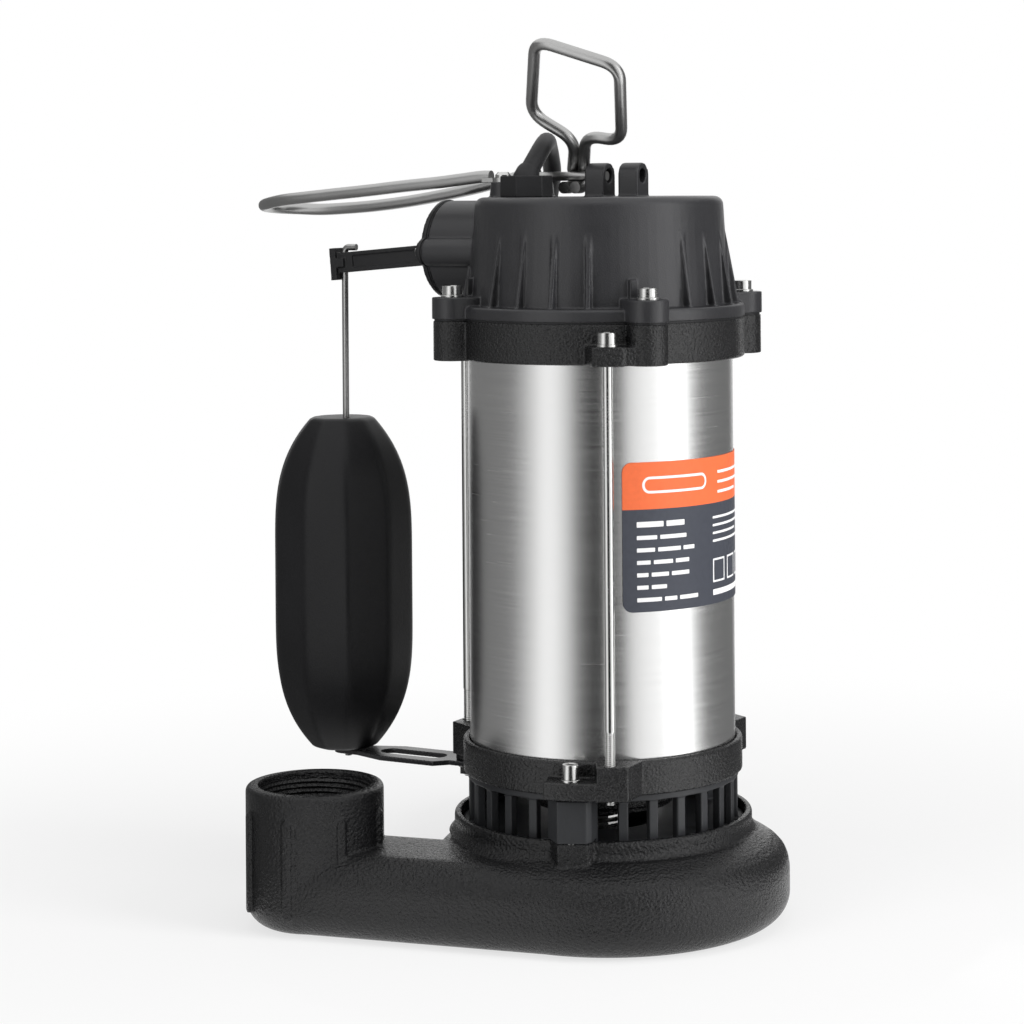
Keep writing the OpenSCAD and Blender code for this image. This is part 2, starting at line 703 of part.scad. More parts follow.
module upper_flange() color(cast) difference() {
    union() {
        rotate_extrude($fn = 144) polygon([
            [tube_r + touch, tube_top_z], [tube_r + touch, head_low_z + 0.6], [tube_r + 0.9, head_low_z],
            [head_r - 0.9, head_low_z], [head_r, head_low_z + 0.9], [head_r, head_top_z],
            [8, head_top_z], [8, tube_top_z]
        ]);
        ring(tube_r - tube_wall - touch, tube_r - tube_wall - 6, tube_top_z - 7, 8);
        ring(bearing_top_r + 6, 8, bearing_top_z, tube_top_z - bearing_top_z + 1);
        tie_lugs(head_low_z, tie_seat_z - head_low_z, head_r, 0, high_lug_spread);
        lug_webs();
        for (a = cap_angles)
            rotate([0, 0, a])
                round_bar(head_r - lug_root, cap_pcr, 2 * cap_lug_r - 1, head_low_z,
                    head_top_z - head_low_z);
    }
    translate([0, 0, bearing_top_z - 1])
        cylinder(h = bearing_top_h + 1, r = bearing_top_r + run_gap);
    translate([0, 0, bearing_top_z]) cylinder(h = bearing_top_h + 3, r = 9);
    seal_groove(tube_top_z - seal_ring_in);
    holes(tie_angles, tie_pcr, tie_r + bolt_gap, head_low_z - 1, tie_seat_z + 1);
    holes(cap_angles, cap_pcr, bolt_r + bolt_gap, head_top_z - 14, head_top_z + 1);
    // Way for the motor's leads up into the cap
    translate([-30, 24, tube_top_z - 1]) cylinder(h = 30, r = 7);
}

washer_t = 0.9;
tie_head_h = 4.9;
module tie_rods() color(bright)
    for (a = tie_angles) {
        foot = a == switch_a ? bracket_top_z - bracket_t - 5 : flange_z - 1.5;
        at(tie_pcr, a) {
            translate([0, 0, foot]) cylinder(h = tie_seat_z + washer_t - foot, r = tie_r, $fn = 32);
            translate([0, 0, tie_seat_z + washer_t]) cylinder(h = tie_head_h, r = 4.2, $fn = 40);
        }
    }

module tie_rod_washers() color(bright)
    for (a = tie_angles) at(tie_pcr, a) ring(4.6, tie_r + bolt_gap, tie_seat_z, washer_t);

module volute_bolts() color(steel)
    for (a = bolt_angles) at(bolt_pcr, a) translate([0, 0, bolt_seat_z]) {
        cylinder(h = 1, r = 4, $fn = 40);
        translate([0, 0, 1]) cylinder(h = 4.4, r = 2.9, $fn = 40);
        translate([0, 0, 5.4]) cylinder(h = 2, r = 3.5, $fn = 40);
        depth = bolt_seat_z - volute_wall_h - 6;
        translate([0, 0, -depth]) cylinder(h = depth, r = bolt_r, $fn = 32);
    }

// ---- Cap ----

module cap_gasket() color(rubber) difference() {
    union() {
        ring(head_r - 0.6, cap_low_r - cap_wall, head_top_z, cap_gasket_t);
        for (a = cap_angles)
            rotate([0, 0, a]) round_bar(head_r - 4, cap_pcr, 2 * cap_lug_r - 2, head_top_z, cap_gasket_t);
    }
    holes(cap_angles, cap_pcr, bolt_r + bolt_gap, head_top_z - 1, cap_low_z + 1);
}

deck_edge = 4;
module cap_outline() {
    edge_z = deck_z - deck_edge;
    polygon([[0, cap_low_z], [cap_low_r, cap_low_z], [cap_low_r, cap_flange_top_z],
        [cap_top_r, edge_z], [cap_top_r - deck_edge, edge_z], [0, edge_z]]);
    translate([0, edge_z - 1]) square([cap_top_r - deck_edge, deck_edge + 1]);
    translate([cap_top_r - deck_edge, edge_z]) circle(deck_edge, $fn = 48);
}

// The hollow of the cap, with a bevel under the deck's edge
module cap_hollow() {
    roof_z = deck_z - cap_wall;
    side_r = cap_top_r - cap_wall;
    bevel = 2;
    polygon([[0, cap_low_z - 1], [cap_low_r - cap_wall, cap_low_z - 1],
        [cap_low_r - cap_wall, cap_flange_top_z], [side_r, roof_z - bevel],
        [side_r - bevel, roof_z], [0, roof_z]]);
}

housing_from = 40;
seam_s = cover_s - cover_t;
gasket_t = 0.7;
housing_r = cover_r - 0.4;
housing_wall = 3.5;
lobe_q = 20.5;
lobe_z = cover_z - 1;
lobe_r = 6.2;
switch_floor_z = cover_z - 16;

// One upright fin that thins out towards its top, on the cone of the cap
module cap_fin(angle) {
    rotate([0, 0, angle]) translate([0, cap_fin_t / 2, 0]) rotate([90, 0, 0]) linear_extrude(cap_fin_t)
        polygon([[cap_top_r - 2, cap_flange_top_z - 0.5], [cap_low_r + 4.3, cap_flange_top_z - 0.5],
            [cap_low_r + 3.8, cap_flange_top_z + 1.5], [cap_top_r + 0.6, deck_z - cap_fin_drop],
            [cap_top_r - 2, deck_z - cap_fin_drop]]);
}

guard_post_s = 38;
guard_post_r = 5.4;
guard_post_h = 6.6;
guard_post_z = deck_z + guard_post_h;
ear_spots = [[-ear_t, 0], [-2 * ear_t - 6.9, -ear_t - 6.9], [25.8, 31.3]];

// An ear on the deck that carries the handle's pin, between two places along the pin
module deck_ear(from_s, to_s, width) {
    r = ear_top_z - pin_z;
    switch_frame() {
        translate([from_s, pin_q - width / 2, deck_z - 3]) cube([to_s - from_s, width, pin_z - deck_z + 3]);
        translate([from_s, pin_q, pin_z]) rotate([0, 90, 0])
            cylinder(h = to_s - from_s, r = min(r, width / 2), $fn = 48);
    }
}

module cap() color(black) difference() {
    union() {
        rotate_extrude($fn = 144) cap_outline();
        ring(head_r + 0.2, cap_low_r - 2, cap_low_z, cap_flange_t - 0.7);
        ring(head_r - 0.5, cap_low_r - 2, cap_low_z, cap_flange_t);
        for (a = cap_angles) {
            rotate([0, 0, a]) {
                round_bar(cap_low_r - 3, cap_pcr, 2 * cap_lug_r, cap_low_z, cap_lug_h);
                translate([cap_low_r - 3, -5.2, cap_low_z]) cube([5, 3.4, cap_lug_h + 8]);
            }
            for (i = [0 : cap_fins - 1]) cap_fin(a + 90 * (i + 1.43) / (cap_fins + 1.88));
        }
        along_switch(housing_from, 0, cover_z) cylinder(h = seam_s - gasket_t - housing_from, r = housing_r);
        for (side = [-1, 1])
            along_switch(housing_from, side * lobe_q, lobe_z)
                cylinder(h = seam_s - gasket_t - housing_from, r = lobe_r, $fn = 48);
        deck_ear(ear_spots[0][0], ear_spots[0][1], ear_w);
        deck_ear(ear_spots[1][0], ear_spots[1][1], ear_w);
        deck_ear(ear_spots[2][0], ear_spots[2][1], 9);
        for (side = [-1, 1]) switch_frame()
            translate([guard_post_s, side * guard_half_w, deck_z - 3])
                cylinder(h = guard_post_z - deck_z + 3, r1 = guard_post_r + 1, r2 = guard_post_r, $fn = 48);
        // Socket inside the deck for the cord gland
        cord_frame() translate([gland_spot[0], gland_spot[1], deck_z - 14]) cylinder(h = 13, r = 11);
    }
    difference() {
        rotate_extrude() cap_hollow();
        cord_frame() translate([gland_spot[0], gland_spot[1], deck_z - 14]) cylinder(h = 20, r = 11);
        for (side = [-1, 1]) switch_frame()
            translate([guard_post_s, side * guard_half_w, deck_z - 14]) cylinder(h = 20, r = 4.5);
        along_switch(housing_from, 0, cover_z) cylinder(h = 40, r = housing_r);
    }
    // Room for the switch, with a flat floor under it
    switch_frame() translate([housing_from - 6, 0, 0]) rotate([90, 0, 90])
        linear_extrude(seam_s - housing_from + 12) translate([0, cover_z]) difference() {
            circle(housing_r - housing_wall);
            translate([-30, -60]) square([60, 60 + switch_floor_z - cover_z]);
        }
    for (side = [-1, 1])
        along_switch(seam_s - 12, side * lobe_q, lobe_z) cylinder(h = 20, r = 1.5 + bolt_gap, $fn = 32);
    holes(cap_angles, cap_pcr, bolt_r + bolt_gap, cap_low_z - 1, deck_z - 20);
    switch_frame() translate([0, pin_q, pin_z]) rotate([0, 90, 0])
        translate([0, 0, -60]) cylinder(h = 60, r = ear_hole_r);
    switch_frame() translate([0, pin_q, pin_z]) rotate([0, 90, 0])
        translate([0, 0, 10]) cylinder(h = 19, r = pin_r + bolt_gap);
    cord_frame() translate([gland_spot[0], gland_spot[1], deck_z - 30])
        cylinder(h = 60, r = gland_thread_r + bolt_gap);
    for (side = [-1, 1]) switch_frame()
        translate([guard_post_s, side * guard_half_w, deck_z - 8]) cylinder(h = 30, r = 1.5 + bolt_gap);
}

module cap_screws() color(bright)
    for (a = cap_angles) at(cap_pcr, a) translate([0, 0, cap_lug_top_z]) {
        cylinder(h = 1, r = 4.9, $fn = 40);
        translate([0, 0, 1]) difference() {
            cylinder(h = 4, r = 4.4, $fn = 40);
            translate([0, 0, 1.6]) hex_head(4, 5);
        }
        depth = cap_lug_top_z - head_top_z + 11;
        translate([0, 0, -depth]) cylinder(h = depth, r = bolt_r, $fn = 32);
    }

// ---- Electrical pieces inside the cap ----

can_r = 14;
can_h = 38;
can_lid_t = 2;
tab_w = 6;
tab_h = 5;
tab_t = 0.8;
can_spot = [24, -14];
module capacitor() color("#5c6068") translate([can_spot[0], can_spot[1], head_top_z]) {
    cylinder(h = can_h, r = can_r);
    translate([0, 0, can_h]) cylinder(h = can_lid_t, r = can_r - 3);
    for (side = [-1, 1])
        translate([side * can_r / 3 - tab_t / 2, -tab_w / 2, can_h + can_lid_t]) cube([tab_t, tab_w, tab_h]);
}

clip_w = 10;
clip_t = 1.4;
clip_z = 12;
clip_foot = 8;
clip_play = 0.1;
module capacitor_clip() color(steel) translate([can_spot[0], can_spot[1], head_top_z]) {
    ring(can_r + clip_play + clip_t, can_r + clip_play, clip_z, clip_w);
    leg = can_r + clip_play + 0.85 * clip_t;
    translate([-clip_w / 2, -leg - clip_t, 0]) cube([clip_w, clip_t, clip_z + clip_w]);
    translate([-clip_w / 2, -leg - clip_foot, 0]) cube([clip_w, clip_foot - clip_t / 2, clip_t]);
}

module terminal_block() color("#d9d2bf") difference() {
    translate([4, 18, head_top_z]) cube([28, 14, 14]);
    for (i = [0 : 2]) translate([9 + 9 * i, 25, head_top_z + 5]) cylinder(h = 12, r = 2.4, $fn = 32);
}

// ---- Float switch ----

module cover_shape(h, grow) {
    cylinder(h = h, r = cover_r + grow);
    for (side = [-1, 1]) translate([cover_z - lobe_z, side * lobe_q, 0])
        cylinder(h = h, r = lobe_r + grow, $fn = 48);
}

module cover_gasket() color(rubber) difference() {
    along_switch(seam_s - gasket_t, 0, cover_z) cover_shape(gasket_t, -0.5);
    along_switch(seam_s - 5, 0, cover_z) cylinder(h = 10, r = housing_r - housing_wall);
    for (side = [-1, 1])
        along_switch(seam_s - 5, side * lobe_q, lobe_z) cylinder(h = 10, r = 1.5 + bolt_gap, $fn = 32);
}

hub_half_w = 4.5;
hub_r = 4;
lever_pin_r = 1.5;
ear_gap = hub_half_w + touch;

module switch_cover() color(black) difference() {
    union() {
        along_switch(seam_s, 0, cover_z) {
            cover_shape(cover_t - 1.2, 0);
            cover_shape(cover_t, -1.1);
        }
        // Two ears inside the cover carry the lever's pin
        switch_frame() for (side = [-1, 1])
            translate([pivot_s - 5, side * (ear_gap + 1.7) - 1.7, pivot_z - 5])
                cube([seam_s - pivot_s + 6, 3.4, 10]);
    }
    switch_frame() {
        translate([pivot_s - 10, -hub_half_w - touch, pivot_z - 8]) cube([30, 2 * ear_gap, 14.5]);
        translate([pivot_s, 0, pivot_z]) rotate([90, 0, 0])
            translate([0, 0, -20]) cylinder(h = 40, r = lever_pin_r + 0.02, $fn = 48);
    }
    for (side = [-1, 1])
        along_switch(seam_s - 5, side * lobe_q, lobe_z) cylinder(h = 10, r = 1.5 + bolt_gap, $fn = 32);
}

module cover_screws() color(bright)
    for (side = [-1, 1]) along_switch(cover_s, side * lobe_q, lobe_z) {
        pan_head(3, 2);
        translate([0, 0, -12]) cylinder(h = 12, r = 1.5, $fn = 32);
    }

module lever_pin() color(steel) switch_frame()
    translate([pivot_s, 0, pivot_z]) rotate([90, 0, 0])
        translate([0, 0, -ear_gap - 3.4]) cylinder(h = 2 * ear_gap + 6.8, r = lever_pin_r, $fn = 48);

switch_s = 46;
switch_l = 20;
switch_w = 10;
switch_top_z = pivot_z - hub_r - 1.6;
button_s = switch_s + switch_l - 6;
module micro_switch() color("#303236") switch_frame() difference() {
    translate([switch_s, -switch_w / 2, switch_floor_z])
        cube([switch_l, switch_w, switch_top_z - switch_floor_z]);
    translate([button_s, 0, switch_top_z - 3]) cylinder(h = 5, r = 1.5 + run_gap, $fn = 40);
}

button_rise = 1.6;
module switch_button() color("#c8c8c4") switch_frame()
    translate([button_s, 0, switch_top_z - 2]) cylinder(h = 2 + button_rise, r = 1.5, $fn = 40);

// Drawn with the pivot at the origin and the lever along +X, then turned down to its rest
module lever_frame() {
    switch_frame() translate([pivot_s, 0, pivot_z]) rotate([0, lever_droop, 0]) children();
}

lever_l = rod_s - pivot_s;
lever_web = 5.4;
lever_flange = 1.8;
tip_h = 14.6;
tail_drop = 4.6;
module float_lever() color(black) difference() {
    lever_frame() {
        rotate([90, 0, 0]) translate([0, 0, -hub_half_w]) cylinder(h = 2 * hub_half_w, r = hub_r);
        translate([0, -lever_w / 2, -3]) cube([14, lever_w, 6]);
        // Web and two flanges of the arm
        translate([8, -lever_web / 2, -lever_h / 2]) cube([lever_l - 8, lever_web, lever_h]);
        for (z = [-lever_h / 2, lever_h / 2 - lever_flange])
            translate([8, -lever_w / 2, z]) cube([lever_l - 10, lever_w, lever_flange]);
        translate([lever_l + 2, -5, -tip_h / 2 - 0.4]) cube([3.2, 10, tip_h]);
        translate([lever_l - 2, -5, -2]) cube([5, 10, 4]);
        translate([lever_l - 6, -lever_w / 2, -lever_h / 2]) cube([9, lever_w, lever_h]);
        // Tail that presses the switch's button
        translate([button_s - pivot_s - 2, -2, -tail_drop]) cube([pivot_s - button_s + 2, 4, 4]);
    }
    switch_frame() translate([rod_s, 0, pivot_z - 40]) cylinder(h = 60, r = rod_r + 0.6, $fn = 48);
    switch_frame() translate([pivot_s, 0, pivot_z]) rotate([90, 0, 0])
        translate([0, 0, -20]) cylinder(h = 40, r = lever_pin_r + 0.06, $fn = 48);
}

module lever_boot() color(rubber) difference() {
    lever_frame() translate([cover_s - pivot_s + 0.8, 0, 0]) rotate([0, 90, 0]) {
        cylinder(h = 1.6, r = 6.6, $fn = 48);
        translate([0, 0, 1.6]) cylinder(h = 3.4, r1 = 6.2, r2 = 5.7, $fn = 48);
    }
    lever_frame() translate([0, -lever_w / 2, -lever_h / 2]) cube([40, lever_w, lever_h]);
}

rod_bend = 2.2;
rod_hook = 4;
rod_play = 0.35;
rod_tip_z = bracket_top_z - bracket_t - rod_tip;
// The rod's hook lies just over the drooping lever
rod_top_z = pivot_z - (rod_s - rod_bend - rod_hook - pivot_s) * tan(lever_droop)
    + (lever_h / 2 + rod_play) / cos(lever_droop) + rod_r;
module float_rod() color(bright) switch_frame() {
    translate([rod_s, 0, rod_tip_z])
        cylinder(h = rod_top_z - rod_bend - rod_tip_z, r = rod_r, $fn = 32);
    translate([rod_s - rod_bend, 0, rod_top_z - rod_bend]) rotate([90, 0, 0])
        rotate_extrude(angle = 90, $fn = 32) translate([rod_bend, 0]) circle(rod_r, $fn = 32);
    translate([rod_s - rod_bend - rod_hook, 0, rod_top_z]) rotate([0, 90, 0])
        cylinder(h = rod_hook, r = rod_r, $fn = 32);
}

// Radius of the float at a height above its lower end
function float_radius(h) =
    let (u = min(1, min(h, float_len - h) / float_taper))
    float_end_r + (float_r - float_end_r) * (1 - pow(1 - u, float_swell));
float_steps = 9;
float_heights = concat(
    [for (i = [0 : float_steps]) float_taper * pow(i / float_steps, 1.5)],
    [for (i = [float_steps : -1 : 0]) float_len - float_taper * pow(i / float_steps, 1.5)]);
float_z = bracket_top_z + 0.5;

module float() color(black) switch_frame() translate([rod_s, 0, float_z]) difference() {
    translate([float_shift, 0, 0]) rotate_extrude($fn = float_flats) polygon(concat(
        [[0, 0]], [for (h = float_heights) [float_radius(h), h]], [[0, float_len]]));
    // Sealed air space round the tube that the rod runs through
    difference() {
        translate([float_shift, 0, 0]) rotate_extrude($fn = float_flats)
            polygon(concat([[0, float_wall]],
                [for (h = float_heights) [float_radius(h) - float_wall,
                    float_wall + h * (1 - 2 * float_wall / float_len)]],
                [[0, float_len - float_wall]]));
        cylinder(h = float_len, r = rod_r + 2.2, $fn = 48);
    }
    translate([0, 0, -1]) cylinder(h = float_len + 2, r = rod_r + touch, $fn = 48);
}

bracket_end_r = 6.2;
bracket_slot_w = 0.42 * bracket_w;
module float_bracket() color(black) switch_frame() difference() {
    z = bracket_top_z - bracket_t;
    translate([0, 0, z]) linear_extrude(bracket_t) {
        for (s = [tie_pcr, rod_s]) translate([s, 0]) circle(bracket_end_r, $fn = 64);
        translate([tie_pcr, -bracket_end_r]) square([rod_s - tie_pcr, 2 * bracket_end_r]);
        // Wider stretch round the slot
        polygon([for (side = [-1, 1], k = [0 : 3])
            let (i = side < 0 ? k : 3 - k)
            [[tie_pcr + 6, tie_pcr + 12, rod_s - 24, rod_s - 7][i],
                side * [bracket_end_r - 0.5, bracket_w / 2, bracket_w / 2, bracket_end_r - 0.5][i]]]);
    }
    slot_bar(tie_pcr + 17, rod_s - 23, bracket_slot_w, z - 1, bracket_t + 2);
    translate([rod_s, 0, z - 1]) cylinder(h = 10, r = rod_r + 1.2, $fn = 48);
    translate([tie_pcr, 0, z - 1]) cylinder(h = 10, r = tie_r + bolt_gap, $fn = 48);
}

module bracket_nut() color(bright) switch_frame()
    translate([tie_pcr, 0, bracket_top_z - bracket_t - 3.8]) difference() {
        union() {
            hex_head(7.6, 3.8);
            translate([0, 0, 3]) cylinder(h = 0.8, r = 4.6, $fn = 40);
        }
        translate([0, 0, -1]) cylinder(h = 10, r = tie_r + bolt_gap, $fn = 32);
    }

// ---- Guard, handle and pin ----

// One strand of the guard: share of its run from tab to bend, rise, and half its height over the
// other strand
guard_strand = [
    [0, 0.2, 0], [0.057, 0, 0.1], [0.16, -1.6, 0.6], [0.283, -3.6, 1.3], [0.453, -5.8, 2.1],
    [0.642, -8.1, 2.6], [0.83, -9.9, 2.8], [1, -11.2, 2.6]
];
// Half of its round tip, likewise
guard_bend = [[0.367, -11.9, 2.3], [0.7, -12.4, 1.4], [0.933, -12.65, 0.65], [1, -12.7, 0]];
guard_tip_l = 30;
guard_run_s = guard_post_s + 6;
guard_bend_s = guard_reach - guard_tip_l;
guard_z = guard_post_z + 2.2;

guard_ends = [for (side = [1, -1]) [for (p = guard_strand)
    [guard_run_s + p[0] * (guard_bend_s - guard_run_s), side * guard_half_w,
        guard_z + p[1] + side * p[2]]]];
guard_tip = [for (side = [1, -1]) [for (p = guard_bend)
    [guard_bend_s + p[0] * guard_tip_l, side * guard_half_w * sqrt(1 - p[0] * p[0]),
        guard_z + p[1] + side * p[2]]]];
function reversed(p) = [for (i = [len(p) - 1 : -1 : 0]) p[i]];
guard_route = concat(guard_ends[0], guard_tip[0],
    [for (i = [len(guard_bend) - 2 : -1 : 0]) guard_tip[1][i]], reversed(guard_ends[1]));

module guard_loop() color(steel) switch_frame() difference() {
    union() {
        tube_along(smooth(guard_route, 3), guard_r, 12);
        // The ends are pressed flat where they are screwed down
        for (side = [-1, 1]) {
            translate([guard_post_s, side * guard_half_w, guard_post_z]) cylinder(h = 1.8, r = 4.8, $fn = 40);
            translate([guard_post_s, side * guard_half_w - 3.2, guard_post_z]) cube([9, 6.4, 1.8]);
        }
    }
    for (side = [-1, 1]) translate([guard_post_s, side * guard_half_w, deck_z]) cylinder(h = 20, r = 1.7);
}

module guard_screws() color(bright)
    for (side = [-1, 1]) switch_frame()
        translate([guard_post_s, side * guard_half_w, guard_post_z + 1.8]) {
            pan_head(3.5, 2.6);
            translate([0, 0, -9]) cylinder(h = 9, r = 1.5, $fn = 32);
        }

module bail_pin() color(steel) switch_frame()
    translate([-ear_t + 1, pin_q, pin_z]) rotate([0, 90, 0]) cylinder(h = ear_t + 28, r = pin_r, $fn = 48);

// The handle is one wire: hook, neck, square eye, neck, hook.
// Its points are given from the pin: along the pin, across it towards the deck's edge, and up.
hook_reach = pin_r + bail_r + touch;
hook_tip = 5;
hook_spots = [10.4, 5];
bail_wide = [-0.951, -0.112, -0.29];
bail_high = [-0.299, 0.617, 0.728];
bail_corners = [[1.7, 17.5], [-19.3, 25.2], [-15.4, 67.9], [24, 67], [24.1, 25.2], [6.8, 22.3]];
bail_lean = atan2(bail_high[2], bail_high[1]) + 90;
bail_foot = [hook_spots[0], hook_reach * cos(bail_lean), hook_reach * sin(bail_lean)];
function hook(s) = concat([[s, hook_tip, -hook_reach]],
    [for (a = [270 : -15 : bail_lean]) [s, hook_reach * cos(a), hook_reach * sin(a)]]);
bail_eye = [for (c = bail_corners) bail_foot + c[0] * bail_wide + c[1] * bail_high];

// Points with each inner corner rounded over a reach on either side
function eased(p, reach, steps) = concat([p[0]],
    [for (i = [1 : len(p) - 2], k = [0 : steps])
        let (u = k / steps,
            a = p[i] + min(reach, norm(p[i - 1] - p[i]) * 0.48) * unit(p[i - 1] - p[i]),
            c = p[i] + min(reach, norm(p[i + 1] - p[i]) * 0.48) * unit(p[i + 1] - p[i]))
        (1 - u) * (1 - u) * a + 2 * u * (1 - u) * p[i] + u * u * c],
    [p[len(p) - 1]]);

bail_hooks = [for (s = hook_spots) hook(s)];
hook_last = len(bail_hooks[0]) - 1;
bail_route = concat(bail_hooks[0],
    [for (p = eased(concat([bail_hooks[0][hook_last]], bail_eye, [bail_hooks[1][hook_last]]), 8, 5))
        if (norm(p - bail_hooks[0][hook_last]) > 1 && norm(p - bail_hooks[1][hook_last]) > 1) p],
    reversed(bail_hooks[1]));

module bail() color(steel) switch_frame() translate([0, pin_q, pin_z])
    tube_along(bail_route, bail_r, 12, [1, 0, 0]);

// ---- Cord ----
// The cord's points are drawn in a frame turned so that +Y points straight behind the pump.

cord_turn = 17.5;
cord_r = cord_d / 2;
gland_spot = [-31, -15];
gland_thread_r = 8.2;
gland_bore_r = 6.9;
bush_low_z = deck_z - 11;
coil_gap = 0.6;
coil_pitch = cord_d + coil_gap;
coil_lift = 1.2;
coil_layers = 4;
coil_turns = 8;
coil_r = 58;
coil_centre = [-1, 147];
coil_start_a = 207;
coil_rings = 24;

// The coil is wound from its top layer down: in, out, in and out again at a steady rate
layer_turns = coil_turns / coil_layers;
function coil_radius(t) =
    let (k = floor(t / layer_turns), u = t - k * layer_turns)
    k % 2 == 0 ? coil_r - coil_pitch * u : coil_r - coil_pitch * (layer_turns - u);
// Each step down to the next layer takes the half turn round a reversal
function coil_step(t, at) = min(1, max(0, (t - at + 0.25) / 0.5));
function coil_level(t) = coil_layers - 1
    - coil_step(t, layer_turns) - coil_step(t, 2 * layer_turns) - coil_step(t, 3 * layer_turns);
function coil_point(t) = let (a = coil_start_a - 360 * t, r = coil_radius(t))
    [coil_centre[0] + r * cos(a), coil_centre[1] + r * sin(a),
        cord_r + coil_lift + coil_pitch * coil_level(t)];
coil_heading = [sin(coil_start_a), -cos(coil_start_a), 0];
coil_loops = [for (i = [0 : coil_turns * coil_rings]) coil_point(i / coil_rings)];
coil_in = coil_loops[0] - cord_d * coil_heading;
coil_out = coil_loops[len(coil_loops) - 1] + cord_d * coil_heading;
coil_route = concat([coil_in], coil_loops, [coil_out]);

// Least distance between stretches of the coil that lie at least half a turn apart
coil_least = min([for (i = [0 : 2 : len(coil_loops) - 1], j = [i + coil_rings / 2 : len(coil_loops) - 1])
    norm(coil_loops[i] - coil_loops[j])]);
echo(coil_self_gap = coil_least - cord_d);

cord_route = concat([
    [-29.8, -13, 321.5], [-27.2, -8.5, 326.3], [-24.9, -2.5, 330.6], [-23.3, 5, 333.4],
    [-22.6, 13, 334.1], [-22.3, 23, 332.4], [-21.6, 32, 328.3], [-20.9, 42, 321.5],
    [-21.5, 50, 316], [-23, 59, 309],
    [-25, 67, 300], [-27, 72.5, 290], [-28.5, 75.5, 279], [-29.5, 76.5, 266], [-30, 77, 245],
    [-30, 77, 210], [-30, 77, 175], [-30, 77, 140], [-30, 77, 110], [-30, 77, 88], [-30, 76.5, 73],
    [-31, 78.5, 59], [-34.5, 85, 46.5], [-39.5, 95, 37.5], [-45.5, 106.5, 32.5]],
    [coil_in]);
tail_route = concat([coil_out],
    [[-62.5, 142, 4.8], [-66.5, 160, 4.1], [-66, 179, 4.1], [-61, 196, 4.1], [-52, 210, 4.6],
    [-40, 219, 7], [-27, 223.5, 10.5], [-15, 225, 12.8], [-7, 225, 13]]);
echo(cord_length = run_length(smooth(cord_route, 4)) + run_length(coil_route)
    + run_length(smooth(tail_route, 4)));

module cord_frame() {
    rotate([0, 0, cord_turn]) children();
}

module gland_nut() color(black) cord_frame() translate([gland_spot[0], gland_spot[1], 0]) difference() {
    union() {
        translate([0, 0, deck_z]) rotate([0, 0, 8]) hex_head(gland_af, gland_top_z - deck_z);
        translate([0, 0, deck_z - 12]) cylinder(h = 13, r = gland_thread_r);
    }
    translate([0, 0, deck_z - 20]) cylinder(h = 40, r = gland_bore_r);
}

// Rubber sleeve that grips the cord in the gland and bends over with it, and ends square to it
bush_end_gap = 0.1;
bush_sink = 0.7;
cord_leaves = unit(smooth(cord_route, 2)[1] - cord_route[0]);
bush_route = [[-31.3, -16, gland_top_z - 2], cord_route[0] - 1.6 * cord_leaves,
    cord_route[0] - bush_end_gap * cord_leaves];
module gland_bush() color(rubber) cord_frame() union() {
    translate([gland_spot[0], gland_spot[1], bush_low_z])
        cylinder(h = gland_top_z - bush_sink - bush_low_z, r = gland_bore_r - 0.1);
    tube_along(bush_route, [cord_r + 1.4, cord_r + 1.3, cord_r + 0.6], 24);
}

module power_cord() color(rubber) cord_frame()
    tube_along(smooth(cord_route, 2), cord_r, 8, [1, 0, 0]);

module cord_coil() color(rubber) cord_frame() tube_along(coil_route, cord_r, 6);

module cord_tail() color(rubber) cord_frame() tube_along(smooth(tail_route, 2), cord_r, 8);

plug_relief_l = 22;
plug_l = 30;
plug_w = 26;
plug_h = 24;
module plug_frame() {
    cord_frame() translate(tail_route[len(tail_route) - 1]) rotate([0, 90, 0]) children();
}

module plug_body() color(rubber) plug_frame() {
    cylinder(h = plug_relief_l, r1 = cord_r + 0.4, r2 = cord_r + 3.4, $fn = 48);
    difference() {
        union() {
            translate([-plug_h / 2, -plug_w / 2 + 4, plug_relief_l]) cube([plug_h, plug_w - 8, plug_l]);
            translate([-plug_h / 2 + 4, -plug_w / 2, plug_relief_l]) cube([plug_h - 8, plug_w, plug_l]);
            for (x = [-1, 1], y = [-1, 1])
                translate([x * (plug_h / 2 - 4), y * (plug_w / 2 - 4), plug_relief_l])
                    cylinder(h = plug_l, r = 4, $fn = 40);
        }
        // Finger grips on both sides
        for (y = [-1, 1], z = [6, 11, 16])
            translate([-plug_h, y * plug_w / 2 - 0.7, plug_relief_l + z]) cube([2 * plug_h, 1.4, 2]);
    }
}

module plug_blades() color("#c9a75a") plug_frame() translate([0, 0, plug_relief_l + plug_l]) {
    for (y = [-6.35, 6.35]) translate([-1.15, y - 0.75, 0]) cube([6.3, 1.5, 16]);
    translate([-7, 0, 0]) cylinder(h = 15, r = 2.4, $fn = 32);
    translate([-7, 0, 15]) cylinder(h = 3, r1 = 2.4, r2 = 1.2, $fn = 32);
}

// Band round the coil on the side away from its steps
tie_w = 9;
tie_t = 0.9;
module coil_tie() color("#2c2c2e") cord_frame() translate([coil_centre[0], coil_centre[1], 0])
    rotate([0, 0, coil_start_a - 180]) translate([0, tie_w / 2, 0]) rotate([90, 0, 0]) linear_extrude(tie_w) {
        inner_r = coil_r - 1.5 * coil_pitch - cord_r - 0.2;
        outer_r = coil_r - 0.5 * coil_pitch + cord_r + 0.2;
        top = coil_lift + (coil_layers - 1) * coil_pitch + cord_d + 0.2;
        low = coil_lift - 0.2;
        difference() {
            translate([inner_r - tie_t, low - tie_t])
                square([outer_r - inner_r + 2 * tie_t, top - low + 2 * tie_t]);
            translate([inner_r, low]) square([outer_r - inner_r, top - low]);
        }
    }

